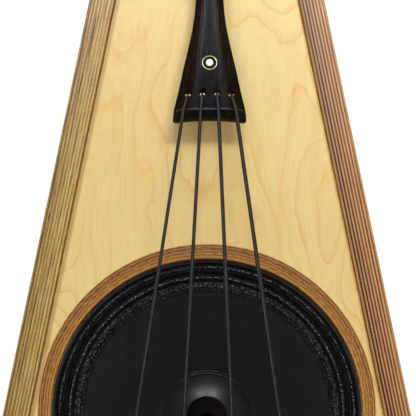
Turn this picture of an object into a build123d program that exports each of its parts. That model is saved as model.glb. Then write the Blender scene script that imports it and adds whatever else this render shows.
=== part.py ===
from build123d import *

import os
from math import atan, cos, radians, sin, sqrt

# Upright electric double bass: a tapered plywood box with a loudspeaker in its front,
# cello-style tailpiece, four strings, bridge, neck, scroll and worm tuners.
#
# The bass stands on its endpin as it is played. The origin is the endpin's tip on the floor,
# +Z runs up to the scroll, and the front plate faces -Y. Heights named "u" are measured from
# the lower end of the body, and "h" is the distance in front of the front plate's face.

os.makedirs("parts", exist_ok=True)

# ---- Driving dimensions, millimetres ----
ENDPIN_OUT = 130.0  # bare endpin below the body at rest
BODY_LENGTH = 830.0
TAIL_HALF_WIDTH = 65.6  # half the outer width at the body's lower end
TAPER = 0.1916  # growth of the half width for each millimetre of height
BODY_DEPTH = 160.0
SIDE_BOARD = 21.0  # fifteen-ply birch, across its plies
END_BOARD = 21.0
PLATE_THICKNESS = 12.0
PLATE_RECESS = 3.0  # front plate below the rim
PLATE_GAP = 0.3  # clearance between the front plate and the sides
PLATE_BEVEL = 1.8  # bevel around the front plate, which makes a shadow line along the sides

WOOFER_U = 547.5  # height of the woofer's centre
OPENING_RADIUS = 131.9  # land of the plate's opening, behind the chamfer
OPENING_CHAMFER = 10.3
BAFFLE_THICKNESS = 18.0
BASKET_RADIUS = 131.0
CONE_RADIUS = 107.0
CAP_RADIUS = 39.0
VENT_RADIUS = 17.4

TAIL_SHIFT = -2.4  # the tailpiece hangs a little to one side
TAILPIECE_END_U = 306.0
FRET_U = 296.0
EYE_U = 254.0
HOLE_U = 281.5
FRET_STRING_H = 40.5  # centre of the middle strings over the tailpiece's fret
BRIDGE_U = 706.0
BRIDGE_STRING_H = 95.0
SCALE_LENGTH = 864.0  # bridge to nut, thirty-four inches
NUT_STRING_H = 15.0

HOLE_SPACING = 12.5
FRET_SPACING = 14.75
BRIDGE_SPACING = 52.0
NUT_SPACING = 9.0
STRINGS = {"e": (-1.5, 1.7), "a": (-0.5, 1.6), "d": (0.5, 1.5), "g": (1.5, 1.45)}
FIT = 0.15  # groove beyond the string's own radius
RUNNING = 0.05  # radial clearance of a turning shaft

# ---- Derived values ----
HALF_DEPTH = BODY_DEPTH / 2
FRONT_Y = -HALF_DEPTH + PLATE_RECESS
BODY_TOP = ENDPIN_OUT + BODY_LENGTH
SIDE_ANGLE = atan(TAPER)
SIDE_ACROSS = SIDE_BOARD / cos(SIDE_ANGLE)  # the side board measured along X
WOOFER_Z = ENDPIN_OUT + WOOFER_U
NUT_U = BRIDGE_U + SCALE_LENGTH
NUT_Z = ENDPIN_OUT + NUT_U
TAIL_SLOPE = radians(5.8)


def at(u):
    """Height above the floor of a point u above the body's lower end."""
    return ENDPIN_OUT + u


def front(h):
    """Y of a point h in front of the front plate's face."""
    return FRONT_Y - h


def half_width(u):
    """Half of the body's outer width at u."""
    return TAIL_HALF_WIDTH + TAPER * u


def inner_half_width(u):
    """Half of the clear width between the side boards at u."""
    return half_width(u) - SIDE_ACROSS


def save(part, name):
    """Label a finished piece and write its STEP file."""
    part.part.label = name
    export_step(part.part, f"parts/{name}.step")


def trapezoid(u_low, u_high, inset):
    """Outline between the side boards from u_low to u_high, drawn in the open sketch."""
    low = inner_half_width(u_low) - inset
    high = inner_half_width(u_high) - inset
    Polygon(
        (-low, at(u_low)),
        (low, at(u_low)),
        (high, at(u_high)),
        (-high, at(u_high)),
        align=None,
    )


def facing(y):
    """Plane across the body at depth y, seen from the front: extruding it goes towards -Y."""
    return Plane(origin=(0, y, 0), x_dir=(1, 0, 0), z_dir=(0, -1, 0))


# ---- Body box ----
def side_board(sign, name):
    """One slanted side board, seen edge-on from the front."""
    foot = half_width(0)
    head = half_width(BODY_LENGTH)
    with BuildPart() as board:
        with BuildSketch(facing(0)):
            with BuildLine():
                Polyline(
                    (sign * foot, at(0)),
                    (sign * head, BODY_TOP),
                    (sign * (head - SIDE_ACROSS), BODY_TOP),
                    (sign * (foot - SIDE_ACROSS), at(0)),
                    close=True,
                )
            make_face()
        extrude(amount=HALF_DEPTH, both=True)
        arrises = board.edges().filter_by(Axis.Z, tolerance=15).group_by(Axis.Y)
        fillet(arrises[0] + arrises[-1], radius=1.4)
    save(board, name)


side_board(-1, "side_left")
side_board(1, "side_right")

COLLAR_BORE_SEAT = 13.0
with BuildPart() as tail_panel:
    with BuildSketch(facing(0)):
        trapezoid(0, END_BOARD, 0)
    extrude(amount=HALF_DEPTH, both=True)
    with BuildSketch(Plane.XY.offset(at(0))):
        Circle(COLLAR_BORE_SEAT)
    extrude(amount=END_BOARD, mode=Mode.SUBTRACT)
save(tail_panel, "tail_panel")

with BuildPart() as shoulder_panel:
    with BuildSketch(facing(0)):
        trapezoid(BODY_LENGTH - END_BOARD, BODY_LENGTH, 0)
    extrude(amount=HALF_DEPTH, both=True)
save(shoulder_panel, "shoulder_panel")

PLATE_LOW_U = END_BOARD + PLATE_GAP
PLATE_HIGH_U = BODY_LENGTH - END_BOARD - PLATE_GAP
PLATE_BACK_Y = FRONT_Y + PLATE_THICKNESS
with BuildPart() as front_plate:
    with BuildSketch(facing(PLATE_BACK_Y)):
        trapezoid(PLATE_LOW_U, PLATE_HIGH_U, PLATE_GAP)
        with Locations((0, WOOFER_Z)):
            Circle(OPENING_RADIUS, mode=Mode.SUBTRACT)
    extrude(amount=PLATE_THICKNESS)
    mouth = front_plate.edges().filter_by(GeomType.CIRCLE).sort_by(Axis.Y)[0]
    chamfer(mouth, length=OPENING_CHAMFER)
    rim = front_plate.faces().sort_by(Axis.Y)[0].outer_wire().edges()
    chamfer(rim, length=PLATE_BEVEL)
save(front_plate, "front_plate")

BAFFLE_LOW_U = WOOFER_U - 152
BAFFLE_HIGH_U = WOOFER_U + 152
BAFFLE_BACK_Y = PLATE_BACK_Y + BAFFLE_THICKNESS
SEAT_DEPTH = 8.0
SEAT_Y = PLATE_BACK_Y + SEAT_DEPTH
BAFFLE_HOLE_RADIUS = 117.5
BOLT_CIRCLE = 124.5
BOLT_COUNT = 8
BOLT_RADIUS = 2.5
with BuildPart() as speaker_baffle:
    with BuildSketch(facing(BAFFLE_BACK_Y)):
        trapezoid(BAFFLE_LOW_U, BAFFLE_HIGH_U, 0.2)
        with Locations((0, WOOFER_Z)):
            Circle(BAFFLE_HOLE_RADIUS, mode=Mode.SUBTRACT)
    extrude(amount=BAFFLE_THICKNESS)
    with BuildSketch(facing(SEAT_Y)):
        with Locations((0, WOOFER_Z)):
            Circle(BASKET_RADIUS + 0.9)
    extrude(amount=SEAT_DEPTH, mode=Mode.SUBTRACT)
    with BuildSketch(facing(BAFFLE_BACK_Y)):
        with Locations((0, WOOFER_Z)):
            with PolarLocations(BOLT_CIRCLE, BOLT_COUNT, start_angle=22.5):
                Circle(BOLT_RADIUS + 0.3)
    extrude(amount=BAFFLE_THICKNESS, mode=Mode.SUBTRACT)
save(speaker_baffle, "speaker_baffle")

BACK_GAP = 1.0
BACK_FACE_Y = HALF_DEPTH - 1.0
BACK_INNER_Y = BACK_FACE_Y - PLATE_THICKNESS
AMP_U = 205.0
AMP_WIDTH = 100.0
AMP_HEIGHT = 150.0
SCREW_INSET = 8.0
SCREW_LENGTH = 24.0


def back_screw_places():
    """X and Z of the screws down both edges of the back panel."""
    places = []
    for u in (55, 205, 355, 505, 655, 775):
        x = inner_half_width(u) - SCREW_INSET
        places.append((x, at(u)))
        places.append((-x, at(u)))
    return places


with BuildPart() as back_panel:
    with BuildSketch(facing(BACK_FACE_Y)):
        trapezoid(END_BOARD + BACK_GAP, BODY_LENGTH - END_BOARD - BACK_GAP, BACK_GAP)
        with Locations((0, at(AMP_U))):
            Rectangle(AMP_WIDTH - 22, AMP_HEIGHT - 22, mode=Mode.SUBTRACT)
        with Locations(*back_screw_places()):
            Circle(2.0, mode=Mode.SUBTRACT)
    extrude(amount=PLATE_THICKNESS)
    screw_mouths = back_panel.edges().filter_by(GeomType.CIRCLE).group_by(Axis.Y)[-1]
    chamfer(screw_mouths, length=2.2)
save(back_panel, "back_panel")

with BuildPart() as panel_screws:
    with BuildSketch(facing(BACK_FACE_Y)):
        with Locations(*back_screw_places()):
            Circle(1.8)
    extrude(amount=SCREW_LENGTH)
    with BuildSketch(facing(BACK_FACE_Y)):
        with Locations(*back_screw_places()):
            Circle(3.9)
    extrude(amount=1.9, taper=45)
save(panel_screws, "panel_screws")

CLEAT = 15.0
NECK_BLOCK_HEIGHT = 60.0


def cleat(u_low, u_high, sign, y_face):
    """A batten along one side board, from depth y_face towards the front."""
    low = inner_half_width(u_low)
    high = inner_half_width(u_high)
    with BuildSketch(facing(y_face)) as batten:
        Polygon(
            (sign * low, at(u_low)),
            (sign * high, at(u_high)),
            (sign * (high - CLEAT), at(u_high)),
            (sign * (low - CLEAT), at(u_low)),
            align=None,
        )
    extrude(batten.sketch, amount=CLEAT)


with BuildPart() as inner_blocks:
    for side in (-1, 1):
        cleat(END_BOARD, BAFFLE_LOW_U - 1, side, PLATE_BACK_Y + CLEAT)
        cleat(BAFFLE_HIGH_U + 1, BODY_LENGTH - END_BOARD, side, PLATE_BACK_Y + CLEAT)
        cleat(END_BOARD, BODY_LENGTH - END_BOARD, side, BACK_INNER_Y)
    with BuildSketch(facing(BACK_INNER_Y)):
        with Locations(*back_screw_places()):
            Circle(1.8)
    extrude(amount=SCREW_LENGTH - PLATE_THICKNESS, mode=Mode.SUBTRACT)
    with Locations((0, PLATE_BACK_Y, at(BODY_LENGTH - END_BOARD))):
        Box(90, 110, NECK_BLOCK_HEIGHT, align=(Align.CENTER, Align.MIN, Align.MAX))
save(inner_blocks, "inner_blocks")


# ---- Woofer: every piece is turned about one axis along Y ----
WOOFER_AXIS = Axis((0, 0, WOOFER_Z), (0, 1, 0))
WOOFER_PLANE = Plane.YZ.offset(0)
FLANGE_BACK_Y = SEAT_Y
FLANGE_FRONT_Y = SEAT_Y - 4.0
SURROUND_INNER = CONE_RADIUS + 0.3
CONE_EDGE_Y = FLANGE_FRONT_Y - 1.0
FORMER_RADIUS = 26.0
CONE_NECK_Y = -17.0
MAGNET_Y = -1.0
BASKET_WALL = 3.0
BASKET_THROAT = 115.0  # radius where the basket's dish meets its flange
BASKET_SEAT = 40.0  # inner radius of the basket's flat back, on the magnet
BASKET_BACK = 72.0
WINDOW_COUNT = 6


def turned(points):
    """Revolve a closed outline of (y, radius) points about the woofer's axis."""
    with BuildSketch(WOOFER_PLANE) as outline:
        Polygon(*[(y, WOOFER_Z + r) for y, r in points], align=None)
    revolve(outline.sketch, axis=WOOFER_AXIS)


with BuildPart() as woofer_basket:
    turned(
        [
            (FLANGE_BACK_Y, BASKET_RADIUS),
            (FLANGE_FRONT_Y, BASKET_RADIUS),
            (FLANGE_FRONT_Y, BASKET_THROAT - 6),
            (FLANGE_BACK_Y + BASKET_WALL, BASKET_THROAT - 6),
            (MAGNET_Y - 8, BASKET_BACK - 6),
            (MAGNET_Y - 4, BASKET_SEAT),
            (MAGNET_Y, BASKET_SEAT),
            (MAGNET_Y, BASKET_BACK),
            (MAGNET_Y - 4, BASKET_BACK),
            (FLANGE_BACK_Y, BASKET_THROAT),
        ]
    )
    with BuildSketch(facing(20)):
        with Locations((0, WOOFER_Z)):
            with PolarLocations(88, WINDOW_COUNT):
                SlotOverall(62, 36, rotation=90)
    extrude(amount=20 - FLANGE_BACK_Y - 3.2, mode=Mode.SUBTRACT)
    with BuildSketch(facing(FLANGE_BACK_Y)):
        with Locations((0, WOOFER_Z)):
            with PolarLocations(BOLT_CIRCLE, BOLT_COUNT, start_angle=22.5):
                Circle(BOLT_RADIUS)
    extrude(amount=2.5, mode=Mode.SUBTRACT)
save(woofer_basket, "woofer_basket")

with BuildPart() as woofer_bolts:
    with BuildSketch(facing(BAFFLE_BACK_Y)):
        with Locations((0, WOOFER_Z)):
            with PolarLocations(BOLT_CIRCLE, BOLT_COUNT, start_angle=22.5):
                Circle(BOLT_RADIUS)
    extrude(amount=BAFFLE_BACK_Y - FLANGE_BACK_Y + 2.3)
    with BuildSketch(facing(BAFFLE_BACK_Y + 4)):
        with Locations((0, WOOFER_Z)):
            with PolarLocations(BOLT_CIRCLE, BOLT_COUNT, start_angle=22.5):
                RegularPolygon(4.6, 6)
    extrude(amount=4)
save(woofer_bolts, "woofer_bolts")

with BuildPart() as woofer_gasket:
    turned(
        [
            (FLANGE_FRONT_Y, BASKET_RADIUS - 0.5),
            (FLANGE_FRONT_Y - 2.6, BASKET_RADIUS - 0.5),
            (FLANGE_FRONT_Y - 2.6, 128.6),
            (FLANGE_FRONT_Y, 128.6),
        ]
    )
save(woofer_gasket, "woofer_gasket")

with BuildPart() as woofer_surround:
    with BuildSketch(WOOFER_PLANE):
        with BuildLine() as rolls:
            Polyline(
                (FLANGE_FRONT_Y, WOOFER_Z + 128.4),
                (FLANGE_FRONT_Y - 1.2, WOOFER_Z + 128.4),
                (FLANGE_FRONT_Y - 4.2, WOOFER_Z + 125.6),
                (FLANGE_FRONT_Y - 1.6, WOOFER_Z + 121.4),
                (FLANGE_FRONT_Y - 4.4, WOOFER_Z + 117.3),
                (FLANGE_FRONT_Y - 2.2, WOOFER_Z + 113.0),
                (CONE_EDGE_Y - 1.2, WOOFER_Z + SURROUND_INNER),
                (CONE_EDGE_Y, WOOFER_Z + SURROUND_INNER),
                (FLANGE_FRONT_Y - 0.2, WOOFER_Z + 113.0),
                (FLANGE_FRONT_Y - 2.6, WOOFER_Z + 117.3),
                (FLANGE_FRONT_Y, WOOFER_Z + 121.4),
                close=True,
            )
        make_face()
    revolve(axis=WOOFER_AXIS)
save(woofer_surround, "woofer_surround")

CAP_SEAT_Y = CONE_EDGE_Y + (CONE_RADIUS - CAP_RADIUS) / (CONE_RADIUS - FORMER_RADIUS) * (
    CONE_NECK_Y - CONE_EDGE_Y
)
CONE_WALL = 1.6
with BuildPart() as woofer_cone:
    turned(
        [
            (CONE_EDGE_Y, CONE_RADIUS),
            (CONE_NECK_Y, FORMER_RADIUS),
            (CONE_NECK_Y + CONE_WALL, FORMER_RADIUS),
            (CONE_NECK_Y + CONE_WALL, FORMER_RADIUS + 1.0),
            (CONE_EDGE_Y + CONE_WALL, CONE_RADIUS),
        ]
    )
save(woofer_cone, "woofer_cone")

CAP_RISE = 15.0
CAP_WALL = 1.2
CAP_SPHERE = (CAP_RADIUS**2 + CAP_RISE**2) / (2 * CAP_RISE)
CAP_CENTRE_Y = CAP_SEAT_Y - CAP_RISE + CAP_SPHERE


def cap_y(radius, sphere):
    """Depth of the dust cap's skin at a radius."""
    return CAP_CENTRE_Y - sqrt(sphere**2 - radius**2)


CAP_INNER_SPHERE = CAP_SPHERE - CAP_WALL
CAP_EDGE = CAP_RADIUS - 1.6
with BuildPart() as dust_cap:
    with BuildSketch(WOOFER_PLANE):
        with BuildLine():
            mid = (VENT_RADIUS + CAP_EDGE) / 2
            ThreePointArc(
                (cap_y(VENT_RADIUS, CAP_SPHERE), WOOFER_Z + VENT_RADIUS),
                (cap_y(mid, CAP_SPHERE), WOOFER_Z + mid),
                (cap_y(CAP_EDGE, CAP_SPHERE), WOOFER_Z + CAP_EDGE),
            )
            Line(
                (cap_y(CAP_EDGE, CAP_SPHERE), WOOFER_Z + CAP_EDGE),
                (cap_y(CAP_EDGE, CAP_INNER_SPHERE), WOOFER_Z + CAP_EDGE),
            )
            ThreePointArc(
                (cap_y(CAP_EDGE, CAP_INNER_SPHERE), WOOFER_Z + CAP_EDGE),
                (cap_y(mid, CAP_INNER_SPHERE), WOOFER_Z + mid),
                (cap_y(VENT_RADIUS, CAP_INNER_SPHERE), WOOFER_Z + VENT_RADIUS),
            )
            Line(
                (cap_y(VENT_RADIUS, CAP_INNER_SPHERE), WOOFER_Z + VENT_RADIUS),
                (cap_y(VENT_RADIUS, CAP_SPHERE), WOOFER_Z + VENT_RADIUS),
            )
        make_face()
    revolve(axis=WOOFER_AXIS)
save(dust_cap, "dust_cap")

with BuildPart() as voice_coil:
    turned(
        [
            (CONE_NECK_Y + CONE_WALL, FORMER_RADIUS),
            (CONE_NECK_Y + CONE_WALL, FORMER_RADIUS - 0.8),
            (MAGNET_Y + 11, FORMER_RADIUS - 0.8),
            (MAGNET_Y + 11, FORMER_RADIUS),
        ]
    )
save(voice_coil, "voice_coil")

SPIDER_Y = -10.0
with BuildPart() as spider:
    ripple = []
    for step in range(8):
        ripple.append((SPIDER_Y + (-1.2 if step % 2 else 1.2), FORMER_RADIUS + 0.3 + 4.6 * step))
    ripple.append((SPIDER_Y + 0.4, 64))
    skin = [(y + 0.8, r) for y, r in reversed(ripple)]
    turned(ripple + skin)
save(spider, "spider")

POLE_RADIUS = 24.2
POLE_BORE = 8.0
COIL_GAP_RADIUS = 27.6  # outer side of the gap that the coil moves in
TOP_PLATE_Y = MAGNET_Y + 8  # back of the front magnet plate
BACK_PLATE_Y = TOP_PLATE_Y + 20
PLATE_RADIUS = 60.0
RING_RADIUS = 71.0
with BuildPart() as magnet_plates:
    turned(
        [
            (MAGNET_Y, COIL_GAP_RADIUS),
            (MAGNET_Y, PLATE_RADIUS),
            (TOP_PLATE_Y, PLATE_RADIUS),
            (TOP_PLATE_Y, COIL_GAP_RADIUS),
        ]
    )
    turned(
        [
            (BACK_PLATE_Y, POLE_BORE),
            (MAGNET_Y - 2, POLE_BORE),
            (MAGNET_Y - 2, POLE_RADIUS),
            (BACK_PLATE_Y, POLE_RADIUS),
            (BACK_PLATE_Y, PLATE_RADIUS + 6),
            (BACK_PLATE_Y + 8, PLATE_RADIUS + 6),
            (BACK_PLATE_Y + 8, POLE_BORE),
        ]
    )
save(magnet_plates, "magnet_plates")

with BuildPart() as magnet_ring:
    turned(
        [
            (TOP_PLATE_Y, COIL_GAP_RADIUS + 6.4),
            (TOP_PLATE_Y, RING_RADIUS),
            (BACK_PLATE_Y, RING_RADIUS),
            (BACK_PLATE_Y, COIL_GAP_RADIUS + 6.4),
        ]
    )
save(magnet_ring, "magnet_ring")


# ---- Tailpiece ----
TOP_H = FRET_STRING_H - 4.1  # crown of the tailpiece under the fret
TAIL_PLANE = Plane(
    origin=(TAIL_SHIFT, front(TOP_H), at(TAILPIECE_END_U)),
    x_dir=(-1, 0, 0),
    z_dir=(0, -cos(TAIL_SLOPE), -sin(TAIL_SLOPE)),
)
TAILPIECE_LENGTH = 244.0
TAILPIECE_THICKNESS = 12.0
TIP_THICKNESS = 7.0
CROWN_RADIUS = 62.0


CROWN_PLANE = Plane(origin=TAIL_PLANE.origin, x_dir=TAIL_PLANE.x_dir, z_dir=TAIL_PLANE.y_dir)


def on_tail(x, u, lift):
    """Point of the tailpiece's top: x across the bass, u up the body, lift over the crown."""
    along = (TAILPIECE_END_U - u) / cos(TAIL_SLOPE)
    drop = CROWN_RADIUS - sqrt(CROWN_RADIUS**2 - (x - TAIL_SHIFT) ** 2)
    return TAIL_PLANE.from_local_coords(Vector(-(x - TAIL_SHIFT), along, lift - drop))


def tail_side(sign):
    """Flared side of the tailpiece, from its wide end to its tip."""
    return [
        (sign * 30.7, 0),
        (sign * 30.0, 13),
        (sign * 22.4, 49),
        (sign * 14.8, 84),
        (sign * 12.0, 110),
        (sign * 11.2, 170),
        (sign * 12.6, 232),
    ]


def tube(points, radius):
    """A round cord along straight runs, with a ball at each corner."""
    for start, end in zip(points, points[1:]):
        run = Vector(*end) - Vector(*start)
        with BuildSketch(Plane(origin=Vector(*start), z_dir=run)) as disc:
            Circle(radius)
        extrude(disc.sketch, amount=run.length)
    for corner in points[1:-1]:
        with Locations(Vector(*corner)):
            Sphere(radius)


def string_points(name):
    """Corners of a string: ball end, hole's lip, tailpiece fret, bridge, nut, roller."""
    lane, radius = STRINGS[name]
    roller = ROLLERS[name]
    hole_x = TAIL_SHIFT + lane * HOLE_SPACING
    fret_x = TAIL_SHIFT + lane * FRET_SPACING
    return [
        tuple(on_tail(hole_x, HOLE_U + 0.9, -2.8)),
        tuple(on_tail(hole_x * 0.9 + fret_x * 0.1, HOLE_U + 3.4, radius * 0.7)),
        tuple(on_tail(fret_x, FRET_U, radius + 2.4)),
        bridge_notch(lane, radius),
        nut_notch(lane, radius),
        (lane * NUT_SPACING, roller_y(roller) - ROLLER_RADIUS - radius - 0.1, roller_z(roller)),
    ]


BRIDGE_ARCH = 250.0
NUT_ARCH = 90.0


def bridge_notch(lane, radius):
    """Centre of a string where it crosses the bridge."""
    x = lane * BRIDGE_SPACING
    drop = BRIDGE_ARCH - sqrt(BRIDGE_ARCH**2 - x**2)
    return (x, front(BRIDGE_STRING_H - drop), at(BRIDGE_U))


def nut_notch(lane, radius):
    """Centre of a string where it crosses the nut."""
    x = lane * NUT_SPACING
    drop = NUT_ARCH - sqrt(NUT_ARCH**2 - x**2)
    return (x, front(NUT_STRING_H - drop), at(NUT_U) + 3)


# ---- Tuner geometry: four rollers across the pegbox, one above the other ----
ROLLERS = {"e": 0, "g": 1, "a": 2, "d": 3}
ROLLER_STEP = 37.0
ROLLER_START = 40.0
ROLLER_RADIUS = 7.0
HEAD_TILT = 0.2  # the pegbox leans back by this much for each millimetre of height
ROLLER_SINK = 22.6
CHEEK_INNER = 19.0
CHEEK_OUTER = 29.0
BRASS_PLATE = 2.5


def roller_z(place):
    """Height of a roller's axis."""
    return NUT_Z + ROLLER_START + place * ROLLER_STEP


def roller_y(place):
    """Depth of a roller's axis."""
    sink = ROLLER_SINK + HEAD_TILT * (ROLLER_START + place * ROLLER_STEP)
    return front(NUT_STRING_H - sink)


with BuildPart() as tailpiece:
    with BuildSketch(TAIL_PLANE.offset(-TAILPIECE_THICKNESS)):
        with BuildLine():
            right = tail_side(1)
            left = tail_side(-1)
            Spline(*right)
            ThreePointArc(right[-1], (0, TAILPIECE_LENGTH), left[-1])
            Spline(*left)
            ThreePointArc(left[0], (0, 1.6), right[0])
        make_face()
    extrude(amount=TAILPIECE_THICKNESS)
    underside = Plane(
        origin=TAIL_PLANE.from_local_coords(Vector(0, 0, -TAILPIECE_THICKNESS)),
        z_dir=TAIL_PLANE.z_dir * TAILPIECE_LENGTH
        - TAIL_PLANE.y_dir * (TAILPIECE_THICKNESS - TIP_THICKNESS),
    )
    split(bisect_by=underside, keep=Keep.TOP)
    with BuildSketch(CROWN_PLANE.offset(-5)):
        with Locations((0, CROWN_RADIUS)):
            Circle(CROWN_RADIUS)
    extrude(amount=TAILPIECE_LENGTH + 10, mode=Mode.INTERSECT)
    along_holes = (TAILPIECE_END_U - HOLE_U) / cos(TAIL_SLOPE)
    with BuildSketch(TAIL_PLANE.offset(2)):
        with Locations(*[(-lane * HOLE_SPACING, along_holes) for lane, _ in STRINGS.values()]):
            Circle(3.1)
    extrude(amount=-TAILPIECE_THICKNESS - 4, mode=Mode.SUBTRACT)
    for side in (-1, 1):
        with BuildSketch(TAIL_PLANE.offset(2)):
            with Locations((side * 6, TAILPIECE_LENGTH - 12)):
                Circle(1.7)
        extrude(amount=-TAILPIECE_THICKNESS - 4, mode=Mode.SUBTRACT)
    for name, (lane, radius) in STRINGS.items():
        route = string_points(name)
        run = Vector(*route[1]) - Vector(*route[0])
        with BuildSketch(Plane(origin=Vector(*route[0]), z_dir=run)):
            Circle(radius + FIT)
        extrude(amount=run.length + 2, mode=Mode.SUBTRACT)
        run = Vector(*route[2]) - Vector(*route[1])
        with BuildSketch(Plane(origin=Vector(*route[1]), z_dir=run)):
            Circle(radius + FIT)
        extrude(amount=run.length, mode=Mode.SUBTRACT)
        with Locations(Vector(*route[1])):
            Sphere(radius + FIT, mode=Mode.SUBTRACT)
save(tailpiece, "tailpiece")

FRET_ALONG = (TAILPIECE_END_U - FRET_U) / cos(TAIL_SLOPE)
with BuildPart() as tailpiece_fret:
    with BuildSketch(CROWN_PLANE.offset(FRET_ALONG - 1.5)):
        with Locations((0, CROWN_RADIUS)):
            Circle(CROWN_RADIUS + 2.2)
            Circle(CROWN_RADIUS + 0.02, mode=Mode.SUBTRACT)
        with Locations((0, -2)):
            Rectangle(56, 18, mode=Mode.INTERSECT)
    extrude(amount=3)
    for name, (lane, radius) in STRINGS.items():
        route = string_points(name)
        for start, end in ((route[1], route[2]), (route[2], route[3])):
            run = Vector(*end) - Vector(*start)
            with BuildSketch(Plane(origin=Vector(*start), z_dir=run)):
                Circle(radius + 0.05)
            extrude(amount=min(run.length, 30), mode=Mode.SUBTRACT)
        with Locations(Vector(*route[2])):
            Sphere(radius + 0.05, mode=Mode.SUBTRACT)
save(tailpiece_fret, "tailpiece_fret")

EYE_ALONG = (TAILPIECE_END_U - EYE_U) / cos(TAIL_SLOPE)
with BuildPart() as eye_ring:
    with BuildSketch(TAIL_PLANE.offset(0.05)):
        with Locations((0, EYE_ALONG)):
            Circle(7.1)
            Circle(6.2, mode=Mode.SUBTRACT)
    extrude(amount=0.5)
save(eye_ring, "eye_ring")

with BuildPart() as eye_dot:
    with BuildSketch(TAIL_PLANE.offset(0.05)):
        with Locations((0, EYE_ALONG)):
            Circle(3.05)
    extrude(amount=0.6)
save(eye_dot, "eye_dot")

with BuildPart() as ball_ends:
    for lane, _ in STRINGS.values():
        ball = on_tail(TAIL_SHIFT + lane * HOLE_SPACING, HOLE_U, -5.0)
        with BuildSketch(Plane(origin=ball, z_dir=(1, 0, 0))):
            Circle(2.2)
        extrude(amount=1.9, both=True)
save(ball_ends, "ball_ends")

# ---- Tail wire, saddle and endpin ----
WIRE_RADIUS = 1.2
SADDLE_H = 9.0
COLLAR_RADIUS = 19.0
COLLAR_NECK = 12.0
WIRE_LOOP = COLLAR_NECK + WIRE_RADIUS + 0.2
WIRE_LOOP_Z = at(0) - 4.0
with BuildPart() as tail_wire:
    for side in (-1, 1):
        tip_along = TAILPIECE_LENGTH - 12
        hole_top = TAIL_PLANE.from_local_coords(Vector(-side * 6, tip_along, 1.4))
        hole_foot = TAIL_PLANE.from_local_coords(Vector(-side * 6, tip_along, -9.0))
        tube(
            [
                tuple(hole_foot),
                tuple(hole_top),
                (side * 7.0, front(SADDLE_H + WIRE_RADIUS + 0.3), at(12)),
                (side * 8.0, front(SADDLE_H + WIRE_RADIUS + 0.3), at(3)),
                (side * 9.0, front(PLATE_RECESS + 3), WIRE_LOOP_Z),
                (side * WIRE_LOOP, 0, WIRE_LOOP_Z),
            ],
            WIRE_RADIUS,
        )
    with BuildSketch(Plane.XZ):
        with Locations((WIRE_LOOP, WIRE_LOOP_Z)):
            Circle(WIRE_RADIUS)
    revolve(axis=Axis((0, 0, 0), (0, 0, 1)), revolution_arc=180)
save(tail_wire, "tail_wire")

with BuildPart() as saddle:
    with BuildSketch(Plane.YZ.offset(-20)):
        with BuildLine():
            Polyline(
                (-HALF_DEPTH, at(2)),
                (-HALF_DEPTH, at(18)),
                (front(SADDLE_H) + 1, at(14)),
                (front(SADDLE_H), at(12)),
                (front(SADDLE_H), at(3)),
                (front(SADDLE_H) + 1, at(2)),
                close=True,
            )
        make_face()
    extrude(amount=40)
save(saddle, "saddle")

ROD_RADIUS = 5.0
ROD_INSIDE = 190.0
TIP_HEIGHT = 22.0
SCREW_Z = at(-15)
SCREW_RADIUS = 2.0
with BuildPart() as endpin_collar:
    with BuildSketch(Plane.XZ):
        with BuildLine():
            Polyline(
                (ROD_RADIUS + RUNNING, at(42)),
                (COLLAR_NECK - 2, at(42)),
                (COLLAR_BORE_SEAT - 0.05, at(21)),
                (COLLAR_BORE_SEAT - 0.05, at(0)),
                (COLLAR_NECK, at(0)),
                (COLLAR_NECK, at(-6.5)),
                (COLLAR_RADIUS, at(-8.5)),
                (COLLAR_RADIUS, at(-12)),
                (COLLAR_RADIUS - 5, at(-24)),
                (ROD_RADIUS + RUNNING, at(-24)),
                close=True,
            )
        make_face()
    revolve(axis=Axis.Z)
    with BuildSketch(Plane(origin=(0, 0, SCREW_Z), z_dir=(1, 0, 0))):
        Circle(SCREW_RADIUS + RUNNING)
    extrude(amount=30, mode=Mode.SUBTRACT)
save(endpin_collar, "endpin_collar")

with BuildPart() as endpin_rod:
    with BuildSketch(Plane.XY.offset(TIP_HEIGHT - 8)):
        Circle(ROD_RADIUS)
    extrude(amount=at(ROD_INSIDE) - TIP_HEIGHT + 8)
    chamfer(endpin_rod.edges().sort_by(Axis.Z)[-1], length=0.8)
save(endpin_rod, "endpin_rod")

with BuildPart() as endpin_tip:
    with BuildSketch(Plane.XZ):
        with BuildLine():
            Polyline((ROD_RADIUS, TIP_HEIGHT), (8.5, TIP_HEIGHT), (11, 7))
            ThreePointArc((11, 7), (8.5, 2.0), (3, 0))
            Polyline((3, 0), (0, 0), (0, TIP_HEIGHT - 8), (ROD_RADIUS, TIP_HEIGHT - 8))
            Line((ROD_RADIUS, TIP_HEIGHT - 8), (ROD_RADIUS, TIP_HEIGHT))
        make_face()
    revolve(axis=Axis.Z)
save(endpin_tip, "endpin_tip")

with BuildPart() as endpin_thumbscrew:
    with BuildSketch(Plane(origin=(ROD_RADIUS + 0.3, 0, SCREW_Z), z_dir=(1, 0, 0))):
        Circle(SCREW_RADIUS)
    extrude(amount=19)
    with BuildSketch(Plane(origin=(ROD_RADIUS + 17, 0, SCREW_Z), z_dir=(1, 0, 0))):
        Circle(4.5)
    extrude(amount=5)
    with BuildSketch(Plane(origin=(ROD_RADIUS + 21, 0, SCREW_Z), z_dir=(1, 0, 0))):
        SlotOverall(22, 4.5)
    extrude(amount=11)
save(endpin_thumbscrew, "endpin_thumbscrew")

# ---- Bridge ----
FOOT_REACH = 82.0
BRIDGE_FOOT = 6.5  # half of the bridge's thickness at its feet
BRIDGE_EDGE = 2.6  # half of its thickness along the top
PICKUP_THICKNESS = 2.0
BRIDGE_TOP_H = BRIDGE_STRING_H + 0.3


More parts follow.
